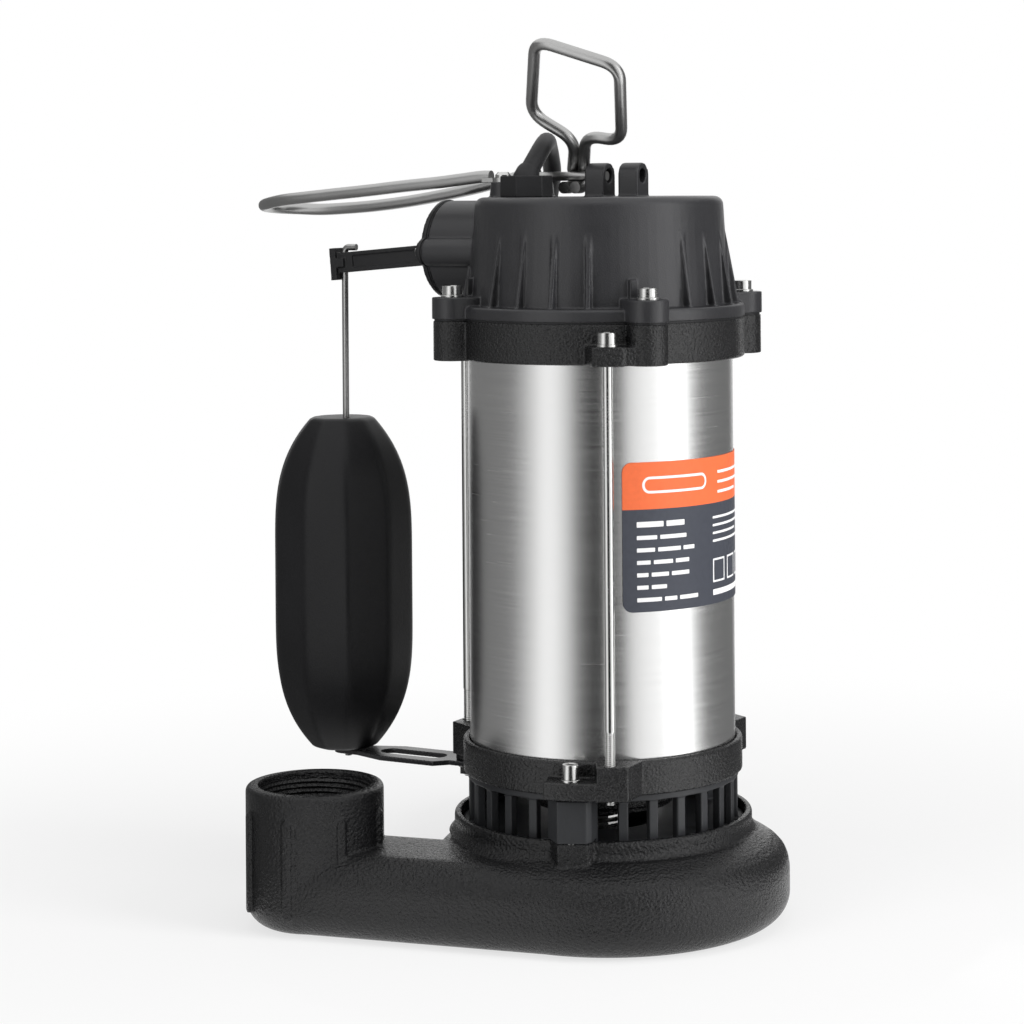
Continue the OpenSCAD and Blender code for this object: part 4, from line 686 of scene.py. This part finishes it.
@dataclass
class Studio:
    """Camera, floor, lamps and world."""

    turn: float = 17.5
    distance: float = 1173.0
    height: float = 315.0
    focal_px: float = 2700.0
    centre_x_px: float = 598.8
    centre_y_px: float = 185.0
    roll: float = -0.42
    floor_half: float = 8000.0
    floor_glow: float = 0.7
    glow_from: float = 150.0
    glow_to: float = 600.0
    world_level: float = 0.25
    lamp_aim: float = 180.0
    card_foot: float = 170.0
    card_low: float = 2.0
    card_r: float = 600.0
    card_knee: float = 260.0
    card_h: float = 700.0
    cards: tuple[tuple[float, float, float], ...] = (
        (-150, -72, 0.2), (-72, -62, 0.4), (-62, -52, 0.72), (-52, -33, 1.2), (-33, -24, 0.85),
        (-24, -18, 0.3), (-18, 19, 0.02), (19, 32, 1.0), (32, 54, 1.1), (54, 74, 2.4), (74, 86, 0.5),
        (86, 150, 0.16),
    )
    lamps: tuple[tuple[str, float, float, float, tuple[float, float], float], ...] = (
        ("left_box", -48, 22, 1500, (700, 1300), 9), ("right_box", 62, 18, 1500, (600, 1300), 26),
        ("top_box", 10, 75, 1500, (1200, 900), 8),
    )

    def camera(self) -> None:
        """Sets up the camera on the pump's front left."""
        sensor = 36.0
        data = bpy.data.cameras.new("camera")
        data.sensor_width = sensor
        data.lens = self.focal_px * sensor / IMAGE
        data.shift_x = (IMAGE / 2 - self.centre_x_px) / IMAGE
        data.shift_y = (self.centre_y_px - IMAGE / 2) / IMAGE
        data.clip_end = 50.0
        camera = bpy.data.objects.new("camera", data)
        bpy.context.scene.collection.objects.link(camera)
        turn = math.radians(self.turn)
        place = Vector((math.sin(turn), -math.cos(turn), 0)) * self.distance + Vector((0, 0, self.height))
        camera.matrix_world = (Matrix.Translation(place * MM) @ Matrix.Rotation(turn, 4, "Z")
                               @ Matrix.Rotation(math.pi / 2, 4, "X")
                               @ Matrix.Rotation(math.radians(self.roll), 4, "Z"))
        bpy.context.scene.camera = camera

    def floor(self) -> None:
        """Lays a pale floor that runs out into the white backdrop and keeps the pump's shadow."""
        half = self.floor_half * MM
        mesh = bpy.data.meshes.new("floor")
        mesh.from_pydata([(-half, -half, 0), (half, -half, 0), (half, half, 0), (-half, half, 0)], [],
                         [(0, 1, 2, 3)])
        floor = bpy.data.objects.new("floor", mesh)
        bpy.context.scene.collection.objects.link(floor)
        material = bpy.data.materials.new("pale_floor")
        material.use_nodes = True
        graph = Graph(material.node_tree)
        lit = material.node_tree.nodes["Principled BSDF"]
        lit.inputs["Base Color"].default_value = (0.82, 0.82, 0.82, 1)
        lit.inputs["Roughness"].default_value = 0.7
        lit.inputs["Specular IOR Level"].default_value = 0.2
        where = graph.add("ShaderNodeTexCoord").outputs["Object"]
        away = graph.add("ShaderNodeVectorMath", {0: where}, operation="LENGTH").outputs["Value"]
        share = graph.add("ShaderNodeMapRange", {"Value": away, "From Min": self.glow_from * MM,
                                                 "From Max": self.glow_to * MM,
                                                 "To Min": self.floor_glow, "To Max": 1.0},
                          interpolation_type="SMOOTHSTEP").outputs[0]
        glow = graph.add("ShaderNodeEmission", {"Color": (1, 1, 1, 1), "Strength": 1.0})
        seen = graph.math("MULTIPLY", share, self.seen(graph))
        mix = graph.add("ShaderNodeMixShader", {0: seen, 1: lit.outputs[0], 2: glow.outputs[0]})
        graph.tree.links.new(mix.outputs[0], material.node_tree.nodes["Material Output"].inputs[0])
        mesh.materials.append(material)

    def seen(self, graph: Graph) -> bpy.types.NodeSocket:
        """Picks the rays that show the backdrop: the camera's, and those off gloss and through glass.

        Args:
            graph: The graph that takes the nodes.

        Returns:
            1 for these rays, and 0 for the light on the pump.
        """
        path = graph.add("ShaderNodeLightPath").outputs
        direct = graph.math("MAXIMUM", path["Is Camera Ray"], path["Is Transmission Ray"])
        return graph.math("MAXIMUM", direct, path["Is Glossy Ray"])

    def card(self, start: float, end: float, level: float) -> None:
        """Stands a curved card round the pump, which only gloss mirrors.

        Args:
            start: Angle of its left edge from the camera, to its right, in degrees.
            end: Angle of its right edge.
            level: Its brightness, where 1 is white.
        """
        facet = 5
        steps = math.ceil((end - start) / facet)
        profile = ((self.card_foot, self.card_low), (self.card_r, self.card_knee),
                   (self.card_r, self.card_h))
        rows = len(profile)
        points = []
        for k in range(steps + 1):
            a = math.radians(self.turn + start + (end - start) * k / steps)
            points += [Vector((r * math.sin(a), -r * math.cos(a), z)) * MM for r, z in profile]
        faces = [(rows * k + i, rows * k + rows + i, rows * k + rows + i + 1, rows * k + i + 1)
                 for k in range(steps) for i in range(rows - 1)]
        mesh = bpy.data.meshes.new("card")
        mesh.from_pydata(points, [], faces)
        card = bpy.data.objects.new("card", mesh)
        bpy.context.scene.collection.objects.link(card)
        card.visible_camera = False
        card.visible_diffuse = False
        card.visible_transmission = False
        card.visible_shadow = False
        material = bpy.data.materials.new("card")
        material.use_nodes = True
        graph = Graph(material.node_tree)
        tone = graph.add("ShaderNodeEmission", {"Color": (level, level, level, 1), "Strength": 1.0})
        graph.tree.links.new(tone.outputs[0], material.node_tree.nodes["Material Output"].inputs[0])
        mesh.materials.append(material)

    def world(self) -> None:
        """Gives a white backdrop, and soft light from all sides."""
        world = bpy.data.worlds.new("studio")
        bpy.context.scene.world = world
        world.use_nodes = True
        graph = Graph(world.node_tree)
        for node in list(world.node_tree.nodes):
            world.node_tree.nodes.remove(node)
        lit = graph.add("ShaderNodeBackground", {"Color": (1, 1, 1, 1), "Strength": self.world_level})
        backdrop = graph.add("ShaderNodeBackground", {"Color": (1, 1, 1, 1), "Strength": 1.0})
        mix = graph.add("ShaderNodeMixShader", {0: self.seen(graph), 1: lit.outputs[0],
                                                2: backdrop.outputs[0]})
        graph.add("ShaderNodeOutputWorld", {0: mix.outputs[0]})

    def lamp(self, name: str, around: float, up: float, reach: float, size: tuple[float, float],
             power: float) -> None:
        """Adds a soft box that faces the pump's middle.

        Args:
            name: The lamp's name.
            around: Angle from the camera, to its right, in degrees.
            up: Angle above the floor, in degrees.
            reach: Distance from the pump's middle, in millimetres.
            size: Width and height, in millimetres.
            power: Power, in watts.
        """
        data = bpy.data.lights.new(name, "AREA")
        data.shape = "RECTANGLE"
        data.size, data.size_y = size[0] * MM, size[1] * MM
        data.energy = power
        lamp = bpy.data.objects.new(name, data)
        lamp.visible_glossy = False
        bpy.context.scene.collection.objects.link(lamp)
        turn = math.radians(self.turn + around)
        rise = math.radians(up)
        away = Vector((math.sin(turn) * math.cos(rise), -math.cos(turn) * math.cos(rise), math.sin(rise)))
        lamp.location = (Vector((0, 0, self.lamp_aim)) + away * reach) * MM
        lamp.rotation_euler = away.to_track_quat("Z", "Y").to_euler()

    def build(self) -> None:
        """Sets up the whole studio."""
        scene = bpy.context.scene
        scene.view_settings.view_transform = "Standard"
        self.camera()
        self.floor()
        self.world()
        for card in self.cards:
            self.card(*card)
        for lamp in self.lamps:
            self.lamp(*lamp)


@dataclass
class PowerCord(Assembly):
    """The cord, from the gland over the cap's edge, down behind the pump and into its coil."""

    diameter: float = 8.2
    gap: float = 0.6
    lift: float = 1.2
    layers: int = 4
    turns: int = 8
    coil_r: float = 58.0
    centre: tuple[float, float] = (-1.0, 147.0)
    start: float = 207.0
    run: tuple[Point, ...] = (
        (-29.8, -13, 321.5), (-27.2, -8.5, 326.3), (-24.9, -2.5, 330.6), (-23.3, 5, 333.4),
        (-22.6, 13, 334.1), (-22.3, 23, 332.4), (-21.6, 32, 328.3), (-20.9, 42, 321.5),
        (-21.5, 50, 316), (-23, 59, 309),
        (-25, 67, 300), (-27, 72.5, 290), (-28.5, 75.5, 279), (-29.5, 76.5, 266), (-30, 77, 245),
        (-30, 77, 210), (-30, 77, 175), (-30, 77, 140), (-30, 77, 110), (-30, 77, 88), (-30, 76.5, 73),
        (-31, 78.5, 59), (-34.5, 85, 46.5), (-39.5, 95, 37.5), (-45.5, 106.5, 32.5),
    )
    tail: tuple[Point, ...] = (
        (-62.5, 142, 4.8), (-66.5, 160, 4.1), (-66, 179, 4.1), (-61, 196, 4.1), (-52, 210, 4.6),
        (-40, 219, 7), (-27, 223.5, 10.5), (-15, 225, 12.8), (-7, 225, 13),
    )

    def coil_point(self, turn: float) -> Vector:
        """Finds a point of the coil.

        Args:
            turn: Turns from the coil's start, at its top.

        Returns:
            The point, in the cord's frame.
        """
        pitch = self.diameter + self.gap
        per_layer = self.turns / self.layers
        layer = math.floor(turn / per_layer)
        share = turn - layer * per_layer
        inward = share if layer % 2 == 0 else per_layer - share
        r = self.coil_r - pitch * inward
        steps = sum(min(1.0, max(0.0, (turn - k * per_layer + 0.25) / 0.5)) for k in range(1, self.layers))
        a = math.radians(self.start - 360 * turn)
        return Vector((self.centre[0] + r * math.cos(a), self.centre[1] + r * math.sin(a),
                       self.diameter / 2 + self.lift + pitch * (self.layers - 1 - steps)))

    def route(self) -> list[Vector]:
        """Returns the whole centreline, in the cord's frame."""
        rings = 36
        coil = [self.coil_point(i / rings) for i in range(self.turns * rings + 1)]
        a = math.radians(self.start)
        ahead = Vector((math.sin(a), -math.cos(a), 0)) * self.diameter
        run = smooth_route([Vector(p) for p in self.run] + [coil[0] - ahead], 5)
        tail = smooth_route([coil[-1] + ahead] + [Vector(p) for p in self.tail], 5)
        return run + coil + tail

    def relief(self) -> bpy.types.Object:
        """Makes the rubber sleeve that leaves the gland and tapers to the cord."""
        low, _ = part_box("gland_bush")
        end = Vector(self.run[0])
        leaves = (smooth_route([Vector(p) for p in self.run[:3]], 2)[1] - end).normalized()
        path = [Vector((-31, -15, low.z / MM)), Vector((-31, -15, 312)), Vector((-31.1, -15.4, 316)),
                Vector((-31.2, -15.2, 318.6)), end - 1.6 * leaves, end - 0.1 * leaves]
        sleeve = Shape().swept(path, [6.8, 6.8, 6.4, 5.6, 5.2, 4.8], 32, CORD)
        return self.fit(sleeve.object("cord_sleeve", 50), RUBBER, "black_rubber", nodes=("gland_bush",))

    def tie(self) -> bpy.types.Object:
        """Makes the band round the coil, with rounded corners."""
        pitch = self.diameter + self.gap
        half_w = 4.5
        inner = self.coil_r - 1.5 * pitch - self.diameter / 2 - 0.2
        outer = self.coil_r - 0.5 * pitch + self.diameter / 2 + 0.2
        low = self.lift - 0.2
        high = self.lift + (self.layers - 1) * pitch + self.diameter + 0.2
        thick = 0.9
        corner = 3.0

        def loop(grow: float, side: float) -> list[Vector]:
            """Returns one edge of the band."""
            points = []
            spots = ((outer, low, -90), (outer, high, 0), (inner, high, 90), (inner, low, 180))
            for x, z, first in spots:
                cx = x - math.copysign(corner, x - (inner + outer) / 2)
                cz = z - math.copysign(corner, z - (low + high) / 2)
                for k in range(7):
                    a = math.radians(first + 15 * k)
                    reach = corner + grow
                    points.append(Vector((cx + reach * math.cos(a), side, cz + reach * math.sin(a))))
            return points

        place = CORD @ moved(*self.centre, 0) @ Matrix.Rotation(math.radians(self.start - 180), 4, "Z")
        loops = [loop(0, -half_w), loop(thick, -half_w), loop(thick, half_w), loop(0, half_w)]
        band = Shape().grid(loops, place, "joined").object("coil_band", 50)
        return self.fit(band, RUBBER, "black_rubber", nodes=("coil_tie",))

    def build(self) -> None:
        """Makes the cord and what is on it."""
        route = [CORD @ p for p in self.route()]
        curve = bpy.data.curves.new("power_cord", "CURVE")
        curve.dimensions = "3D"
        curve.bevel_depth = self.diameter / 2 * MM
        curve.bevel_resolution = 6
        curve.use_fill_caps = True
        spline = curve.splines.new("POLY")
        spline.points.add(len(route) - 1)
        for spot, p in zip(spline.points, route):
            spot.co = (*(p * MM), 1)
        cord = bpy.data.objects.new("cord", curve)
        bpy.context.scene.collection.objects.link(cord)
        self.fit(cord, RUBBER, "black_rubber", nodes=("power_cord", "cord_coil", "cord_tail"))
        sleeve = self.relief()
        band = self.tie()
        plug = self.soften("plug_body", RUBBER, "black_rubber", 0.45, 4)


@dataclass
class PumpEnd(Assembly):
    """Volute, its threaded port and the suction cage."""

    port: tuple[float, float] = (-113.0, -52.5)
    port_bore: float = 24.0
    thread_depth: float = 1.15
    thread_pitch: float = 2.209
    thread_span: tuple[float, float] = (36.0, 57.5)

    def build(self) -> None:
        """Makes the pump end."""
        self.soften("volute", CAST_BLACK, "cast_black", 0.7, 3)
        thread = Shape().threaded(self.port_bore - 0.25, self.port_bore - self.thread_depth, self.thread_span,
                                  self.thread_pitch, self.port_bore + 0.2, moved(*self.port, 0), 120)
        self.fit(thread.object("port_thread", 70), FLANGE_BLACK, "cast_black")
        self.soften("cage", CAGE_PLASTIC, "cage_plastic", 0.42, 2)


@dataclass
class SocketScrew:
    """A cylinder head screw with a hexagon socket, standing on z = 0."""

    shank_r: float
    head_r: float
    head_h: float
    socket_af: float
    washer_r: float = 0.0
    washer_t: float = 0.0

    def add(self, shape: Shape, place: Matrix, depth: float) -> None:
        """Adds the screw to a shape.

        Args:
            shape: The shape that takes it.
            place: Where the screw's seat is.
            depth: Length of the shank under the seat.
        """
        low, high = self.washer_t, self.washer_t + self.head_h
        edge = 0.35
        flat = self.socket_af / 2
        rings = [Ring(self.shank_r, -depth), Ring(self.shank_r, 0)]
        if self.washer_t > 0:
            rings += [Ring(self.washer_r - 0.1, 0), Ring(self.washer_r, 0.12),
                      Ring(self.washer_r, low - 0.12), Ring(self.washer_r - 0.15, low)]
        rings += [Ring(self.head_r - 0.15, low), Ring(self.head_r, low + 0.15),
                  Ring(self.head_r, high - edge), Ring(self.head_r - 0.3 * edge, high - 0.3 * edge),
                  Ring(self.head_r - edge, high),
                  Ring(flat + 0.45, high, 6), Ring(flat, high - 0.35, 6),
                  Ring(flat, high - 0.55 * self.head_h, 6), Ring(0.05, high - 0.62 * self.head_h)]
        shape.turned(rings, place, 48)


@dataclass
class MotorHousing(Assembly):
    """Flanges, tube, nameplate, tie rods and volute bolts."""

    tube_r: float = 57.5
    tube_wall: float = 1.2
    tube_z: tuple[float, float] = (70.0, 250.0)
    tie_angles: tuple[float, ...] = (-70.0, 50.0, 170.0)
    tie_pcr: float = 67.5
    tie_r: float = 2.15
    tie_seat: float = 248.8
    thread_top: float = 91.0
    thread_pitch: float = 0.8
    bolt_angles: tuple[float, ...] = (-84.0, 64.0, 156.0)
    bolt_pcr: float = 67.0
    bolt_seat: float = 70.4
    bolt_depth: float = 42.4

    def tube(self) -> None:
        """Makes the brushed tube."""
        low, high = self.tube_z
        inner = self.tube_r - self.tube_wall
        rings = [Ring(inner, low), Ring(self.tube_r, low), Ring(self.tube_r, high), Ring(inner, high)]
        tube = Shape().turned(rings, sides=288, ends="joined")
        self.fit(tube.object("brushed_tube"), STAINLESS, "stainless", nodes=("motor_tube",))

    def tie_rods(self) -> None:
        """Makes the tie rods: a plain shank, a threaded foot and a cap head."""
        shape = Shape()
        box_low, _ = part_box("tie_rods")
        for angle in self.tie_angles:
            foot = box_low.z / MM if angle == SWITCH_TURN else 61.3
            place = at_angle(self.tie_pcr, angle)
            shape.threaded(self.tie_r - 0.32, self.tie_r, (foot, self.thread_top), self.thread_pitch,
                           place=place, sides=24)
            head = at_angle(self.tie_pcr, angle, self.tie_seat + 0.9)
            SocketScrew(self.tie_r, 4.2, 4.9, 4.0).add(shape, head, self.tie_seat + 0.9 - self.thread_top)
        self.fit(shape.object("tie_rod_set"), BRIGHT_STEEL, "bright_steel", nodes=("tie_rods",))

    def bolts(self) -> None:
        """Makes the volute bolts, each with its washer."""
        shape = Shape()
        for angle in self.bolt_angles:
            place = at_angle(self.bolt_pcr, angle, self.bolt_seat)
            SocketScrew(2.4, 3.4, 6.2, 3.4, 4.0, 1.0).add(shape, place, self.bolt_depth)
        self.fit(shape.object("volute_bolt_set"), BRIGHT_STEEL, "bright_steel", nodes=("volute_bolts",))

    def build(self) -> None:
        """Makes the motor housing."""
        self.soften("lower_flange", FLANGE_BLACK, "cast_black", 0.5, 3)
        self.soften("upper_flange", FLANGE_BLACK, "cast_black", 0.5, 3)
        self.tube()
        self.tie_rods()
        self.bolts()
        Nameplate().build()


@dataclass
class Nameplate(Assembly):
    """Film wrapped round the tube: a warm band over a dark panel, with ruled fields and no words."""

    radius: float = 58.0
    back: float = 57.6
    turn: tuple[float, float] = (-63.8, 27.5)
    span: tuple[float, float] = (138.0, 200.0)
    band_z: float = 180.5
    corner: float = 4.0
    ink_proud: float = 0.04
    fill_proud: float = 0.07

    def arc(self) -> float:
        """Returns the plate's length round the tube."""
        return math.radians(self.turn[1] - self.turn[0]) * self.radius

    def spot(self, u: float, z: float, r: float) -> Vector:
        """Finds a point on the plate.

        Args:
            u: Distance from its left edge.
            z: Height.
            r: Distance from the shaft.

        Returns:
            The point.
        """
        a = math.radians(self.turn[0]) + u / self.radius
        return Vector((r * math.cos(a), r * math.sin(a), z))

    def patch(self, shape: Shape, area: Area, proud: float, corners: Area) -> None:
        """Adds a thin curved rectangle.

        Args:
            shape: The shape that takes it.
            area: Left, low, right and high edge.
            proud: How far it stands out of the plate.
            corners: Rounding of its lower left, upper left, lower right and upper right corner.
        """
        left, low, right, high = area
        cuts = {left, right}
        steps = max(1, round((right - left) / 2.0))
        cuts.update(left + (right - left) * k / steps for k in range(steps + 1))
        for r, from_left in ((max(corners[:2]), True), (max(corners[2:]), False)):
            for k in range(1, 8):
                reach = r * (1 - math.cos(math.radians(90 * k / 8)))
                cuts.add(left + reach if from_left else right - reach)

        def inset(u: float, r_left: float, r_right: float) -> float:
            """Returns how far the edge is drawn in at a place."""
            for r, d in ((r_left, u - left), (r_right, right - u)):
                if r > 0 and d < r:
                    return r - math.sqrt(max(0.0, r * r - (r - d) ** 2))
            return 0.0

        outer = self.radius + proud
        loops = []
        for u in sorted(cuts):
            lower = low + inset(u, corners[0], corners[2])
            upper = high - inset(u, corners[1], corners[3])
            loops.append([self.spot(u, lower, self.back), self.spot(u, lower, outer),
                          self.spot(u, upper, outer), self.spot(u, upper, self.back)])
        shape.grid(loops, Matrix())

    def rules(self) -> list[Area]:
        """Lists the printed fields.

        Returns:
            Their left, low, right and high edges.
        """
        found: list[Area] = []
        words = ((12, 9), (9, 13), (8, 11, 6), (6, 9, 7), (5, 8, 9), (5, 7), (11, 6, 10))
        for row, lengths in enumerate(words):
            z = self.band_z - 7.4 - row * 5.15
            u = 6.0
            for length in lengths:
                found.append((u, z, u + length, z + (2.3 if row == 0 else 1.7)))
                u += length + 1.4
        for row in range(4):
            z = self.band_z - 6.6 - row * 3.3
            found.append((46.0, z, 80.0 - 4 * (row % 3), z + 1.0))
        for column in range(3):
            found.append((46.0 + 13 * column, 147.0, 56.0 + 13 * column, 157.0))
        found.append((46.0, 141.6, 82.0, 144.0))
        for row in range(3):
            found.append((50.0, 192.8 - row * 4.2, 82.0 - 5 * row, 194.0 - row * 4.2))
        return found

    def build(self) -> None:
        """Makes the plate and its print."""
        arc = self.arc()
        c = self.corner
        slate = Shape()
        self.patch(slate, (0, self.span[0], arc, self.band_z), 0.0, (c, 0, c, 0))
        self.fit(slate.object("nameplate_panel"), SLATE_FILM, "label_film", nodes=("nameplate",))
        warm = Shape()
        self.patch(warm, (0, self.band_z, arc, self.span[1]), 0.0, (0, c, 0, c))
        self.fit(warm.object("nameplate_band"), ORANGE_FILM, "label_film")
        ink = Shape()
        for area in self.rules():
            self.patch(ink, area, self.ink_proud, (0.3,) * 4)
        self.patch(ink, (8.5, 187.0, 41.5, 194.0), self.ink_proud, (3.4,) * 4)
        self.fit(ink.object("nameplate_print"), PRINT_WHITE, "label_film")
        field_fill = Shape()
        self.patch(field_fill, (9.6, 188.1, 40.4, 192.9), self.fill_proud, (2.3,) * 4)
        self.fit(field_fill.object("nameplate_field"), ORANGE_FILM, "label_film")
        inner = Shape()
        for column in range(3):
            left = 46.8 + 13 * column
            self.patch(inner, (left, 147.8, left + 8.4, 156.2), self.fill_proud, (0.4,) * 4)
        self.fit(inner.object("nameplate_boxes"), SLATE_FILM, "label_film")


@dataclass
class Cap(Assembly):
    """Ribbed cap, its screws and the cord gland."""

    screw_angles: tuple[float, ...] = (35.0, 125.0, 215.0, 305.0)
    screw_pcr: float = 66.0
    lug_top: float = 267.6

    def build(self) -> None:
        """Makes the cap."""
        self.soften("cap", CAP_PLASTIC, "black_plastic", 0.5, 3)
        shape = Shape()
        for angle in self.screw_angles:
            place = at_angle(self.screw_pcr, angle, self.lug_top)
            SocketScrew(2.4, 4.2, 3.9, 3.9, 4.9, 1.0).add(shape, place, 20.0)
        self.fit(shape.object("cap_screw_set"), BRIGHT_STEEL, "bright_steel", nodes=("cap_screws",))
        self.soften("gland_nut", BLACK_PLASTIC, "black_plastic", 0.3, 3)


@dataclass
class FloatSwitch(Assembly):
    """Switch cover, lever, rod, float and bracket."""

    rod_s: float = 131.0
    float_z: float = 60.0
    float_len: float = 150.0
    float_r: float = 32.0
    float_shift: float = 2.0
    end_r: float = 14.5
    taper: float = 60.0
    swell: float = 3.2
    flats: int = 10
    bore_r: float = 1.8

    def float_radius(self, h: float) -> float:
        """Returns the float's radius at a height above its lower end."""
        u = min(1.0, min(h, self.float_len - h) / self.taper)
        return self.end_r + (self.float_r - self.end_r) * (1 - (1 - u) ** self.swell)

    def float_shell(self) -> None:
        """Makes the float: ten soft flats, drawn in towards both ends."""
        rings = [Ring(self.bore_r, 0.4)]
        rows = 72
        for i in range(rows + 1):
            share = 0.5 - 0.5 * math.cos(math.pi * i / rows)
            h = self.float_len * share
            r = self.float_radius(h)
            near = min(h, self.float_len - h)
            r -= 1.2 * max(0.0, 1 - near / 1.2) ** 2
            soft = 26.0 + 70.0 * min(1.0, near / self.taper)
            flat_r = r * math.cos(math.pi / self.flats) * 1.012
            rings.append(Ring(flat_r, h, self.flats, soft, self.float_shift))
        rings.append(Ring(self.bore_r, self.float_len - 0.4))
        place = SWITCH @ moved(self.rod_s, 0, self.float_z)
        shell = Shape().turned(rings, place, 160, "joined")
        self.fit(shell.object("float_shell", 40), FLOAT_PLASTIC, "black_plastic", Body.FLOAT, ("float",))

    def rod(self) -> None:
        """Makes the float's rod, with its bent top."""
        low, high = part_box("float_rod")
        top = high.z / MM - 1.5
        bend = 2.2
        route = [Vector((self.rod_s, 0, z)) for z in (low.z / MM, 120, 230, top - bend)]
        steps = 8
        for k in range(1, steps + 1):
            a = math.radians(90 * k / steps)
            route.append(Vector((self.rod_s - bend * (1 - math.cos(a)), 0, top - bend * (1 - math.sin(a)))))
        route.append(Vector((self.rod_s - bend - 4, 0, top)))
        rod = Shape().swept(route, 1.5, 24, SWITCH).object("float_rod_wire", 50)
        self.fit(rod, WIRE_STEEL, "bright_steel", Body.ROD, ("float_rod",))

    def build(self) -> None:
        """Makes the float switch."""
        self.soften("switch_cover", BLACK_PLASTIC, "black_plastic", 0.35, 3)
        self.soften("float_lever", BLACK_PLASTIC, "black_plastic", 0.3, 2, Body.LEVER)
        self.soften("lever_boot", RUBBER, "black_rubber", 0.3, 3, Body.LEVER)
        self.soften("float_bracket", BLACK_STEEL, "black_steel", 0.35, 2)
        self.float_shell()
        self.rod()


@dataclass
class HandleAndGuard(Assembly):
    """Bent wire handle and the wire guard over the lever."""

    wire_r: float = 2.6
    guard_r: float = 2.7
    pin_r: float = 2.0
    pin: tuple[float, float] = (8.0, 318.9)
    play: float = 0.3
    hook_spots: tuple[float, float] = (10.4, 5.0)
    hook_tip: float = 5.0
    wide: Point = (-0.951, -0.112, -0.29)
    high: Point = (-0.299, 0.617, 0.728)
    corners: tuple[tuple[float, float], ...] = ((1.7, 17.5), (-19.3, 25.2), (-15.4, 67.9), (24, 67),
                                                (24.1, 25.2), (6.8, 22.3))
    post_z: float = 316.6
    post_s: float = 38.0
    half_w: float = 17.0
    reach: float = 173.0
    strand: tuple[Point, ...] = (
        (0, 0.2, 0), (0.057, 0, 0.1), (0.16, -1.6, 0.6), (0.283, -3.6, 1.3), (0.453, -5.8, 2.1),
        (0.642, -8.1, 2.6), (0.83, -9.9, 2.8), (1, -11.2, 2.6),
    )
    bend: tuple[Point, ...] = ((0.367, -11.9, 2.3), (0.7, -12.4, 1.4), (0.933, -12.65, 0.65), (1, -12.7, 0))
    tip_l: float = 30.0

    def handle_route(self) -> list[Vector]:
        """Returns the handle's centreline: hook, neck, square eye, neck and hook."""
        reach = self.pin_r + self.wire_r + self.play
        lean = math.atan2(self.high[2], self.high[1]) + math.pi / 2
        hooks = []
        for s in self.hook_spots:
            hook = [Vector((s, self.hook_tip, -reach))]
            steps = 20
            for k in range(steps + 1):
                a = 1.5 * math.pi + (lean - 1.5 * math.pi) * k / steps
                hook.append(Vector((s, reach * math.cos(a), reach * math.sin(a))))
            hooks.append(hook)
        foot = hooks[0][-1]
        eye = [foot + c[0] * Vector(self.wide) + c[1] * Vector(self.high) for c in self.corners]
        middle = eased_route([hooks[0][-1], *eye, hooks[1][-1]], 8.0, 8)[1:-1]
        return hooks[0] + middle + hooks[1][::-1]

    def guard_route(self) -> list[Vector]:
        """Returns the guard's centreline, from one tab out to its tip and back to the other."""
        level = self.post_z + 2.2
        start, turn = self.post_s + 6, self.reach - self.tip_l
        ends, tips = [], []
        for side in (1, -1):
            ends.append([Vector((start + share * (turn - start), side * self.half_w,
                                 level + rise + side * lead)) for share, rise, lead in self.strand])
            tips.append([Vector((turn + share * self.tip_l, side * self.half_w * math.sqrt(1 - share ** 2),
                                 level + rise + side * lead)) for share, rise, lead in self.bend])
        return ends[0] + tips[0] + tips[1][-2::-1] + ends[1][::-1]

    def build(self) -> None:
        """Makes the handle and the guard."""
        place = SWITCH @ moved(0, *self.pin)
        handle = Shape().swept(self.handle_route(), self.wire_r, 24, place)
        self.fit(handle.object("handle_wire", 50), WIRE_STEEL, "wire_steel", Body.HANDLE, ("bail",))
        guard = Shape().swept(smooth_route(self.guard_route(), 6), self.guard_r, 24, SWITCH)
        for side in (1, -1):
            rings = [Ring(4.8, self.post_z), Ring(4.8, self.post_z + 1.8)]
            guard.turned(rings, SWITCH @ moved(self.post_s, side * self.half_w, 0), 40)
            low = [Vector((0, y, z)) for y, z in ((-3.2, 0), (3.2, 0), (3.2, 1.8), (-3.2, 1.8))]
            neck = [[p + Vector((x, 0, 0)) for p in low] for x in (0, 9)]
            guard.grid(neck, SWITCH @ moved(self.post_s, side * self.half_w, self.post_z))
        self.fit(guard.object("guard_wire", 50), WIRE_STEEL, "wire_steel", nodes=("guard_loop",))


class CarriedNodes:
    """CAD nodes whose shape is right as it is: they only get a finish."""

    def build(self) -> None:
        """Dresses every CAD node that is still shown."""
        slots = {row["node"]: row["material_slot"] for row in frame["record"]["subparts"]}
        for name, node in frame["nodes"].items():
            if node.hide_render:
                continue
            finish = SLOT_FINISH[slots[name]]
            node.data.materials.clear()
            node.data.materials.append(finish.material())
            log.info("%s is dressed as %s", name, finish.name)


def main() -> None:
    """Builds the studio and the pump."""
    logging.basicConfig(level=logging.INFO, format="%(name)s: %(message)s")
    Studio().build()
    for part in (PowerCord(), PumpEnd(), MotorHousing(), Cap(), FloatSwitch(), HandleAndGuard(),
                 CarriedNodes()):
        log.info("building %s", type(part).__name__)
        part.build()


if __name__ == "__main__":
    main()
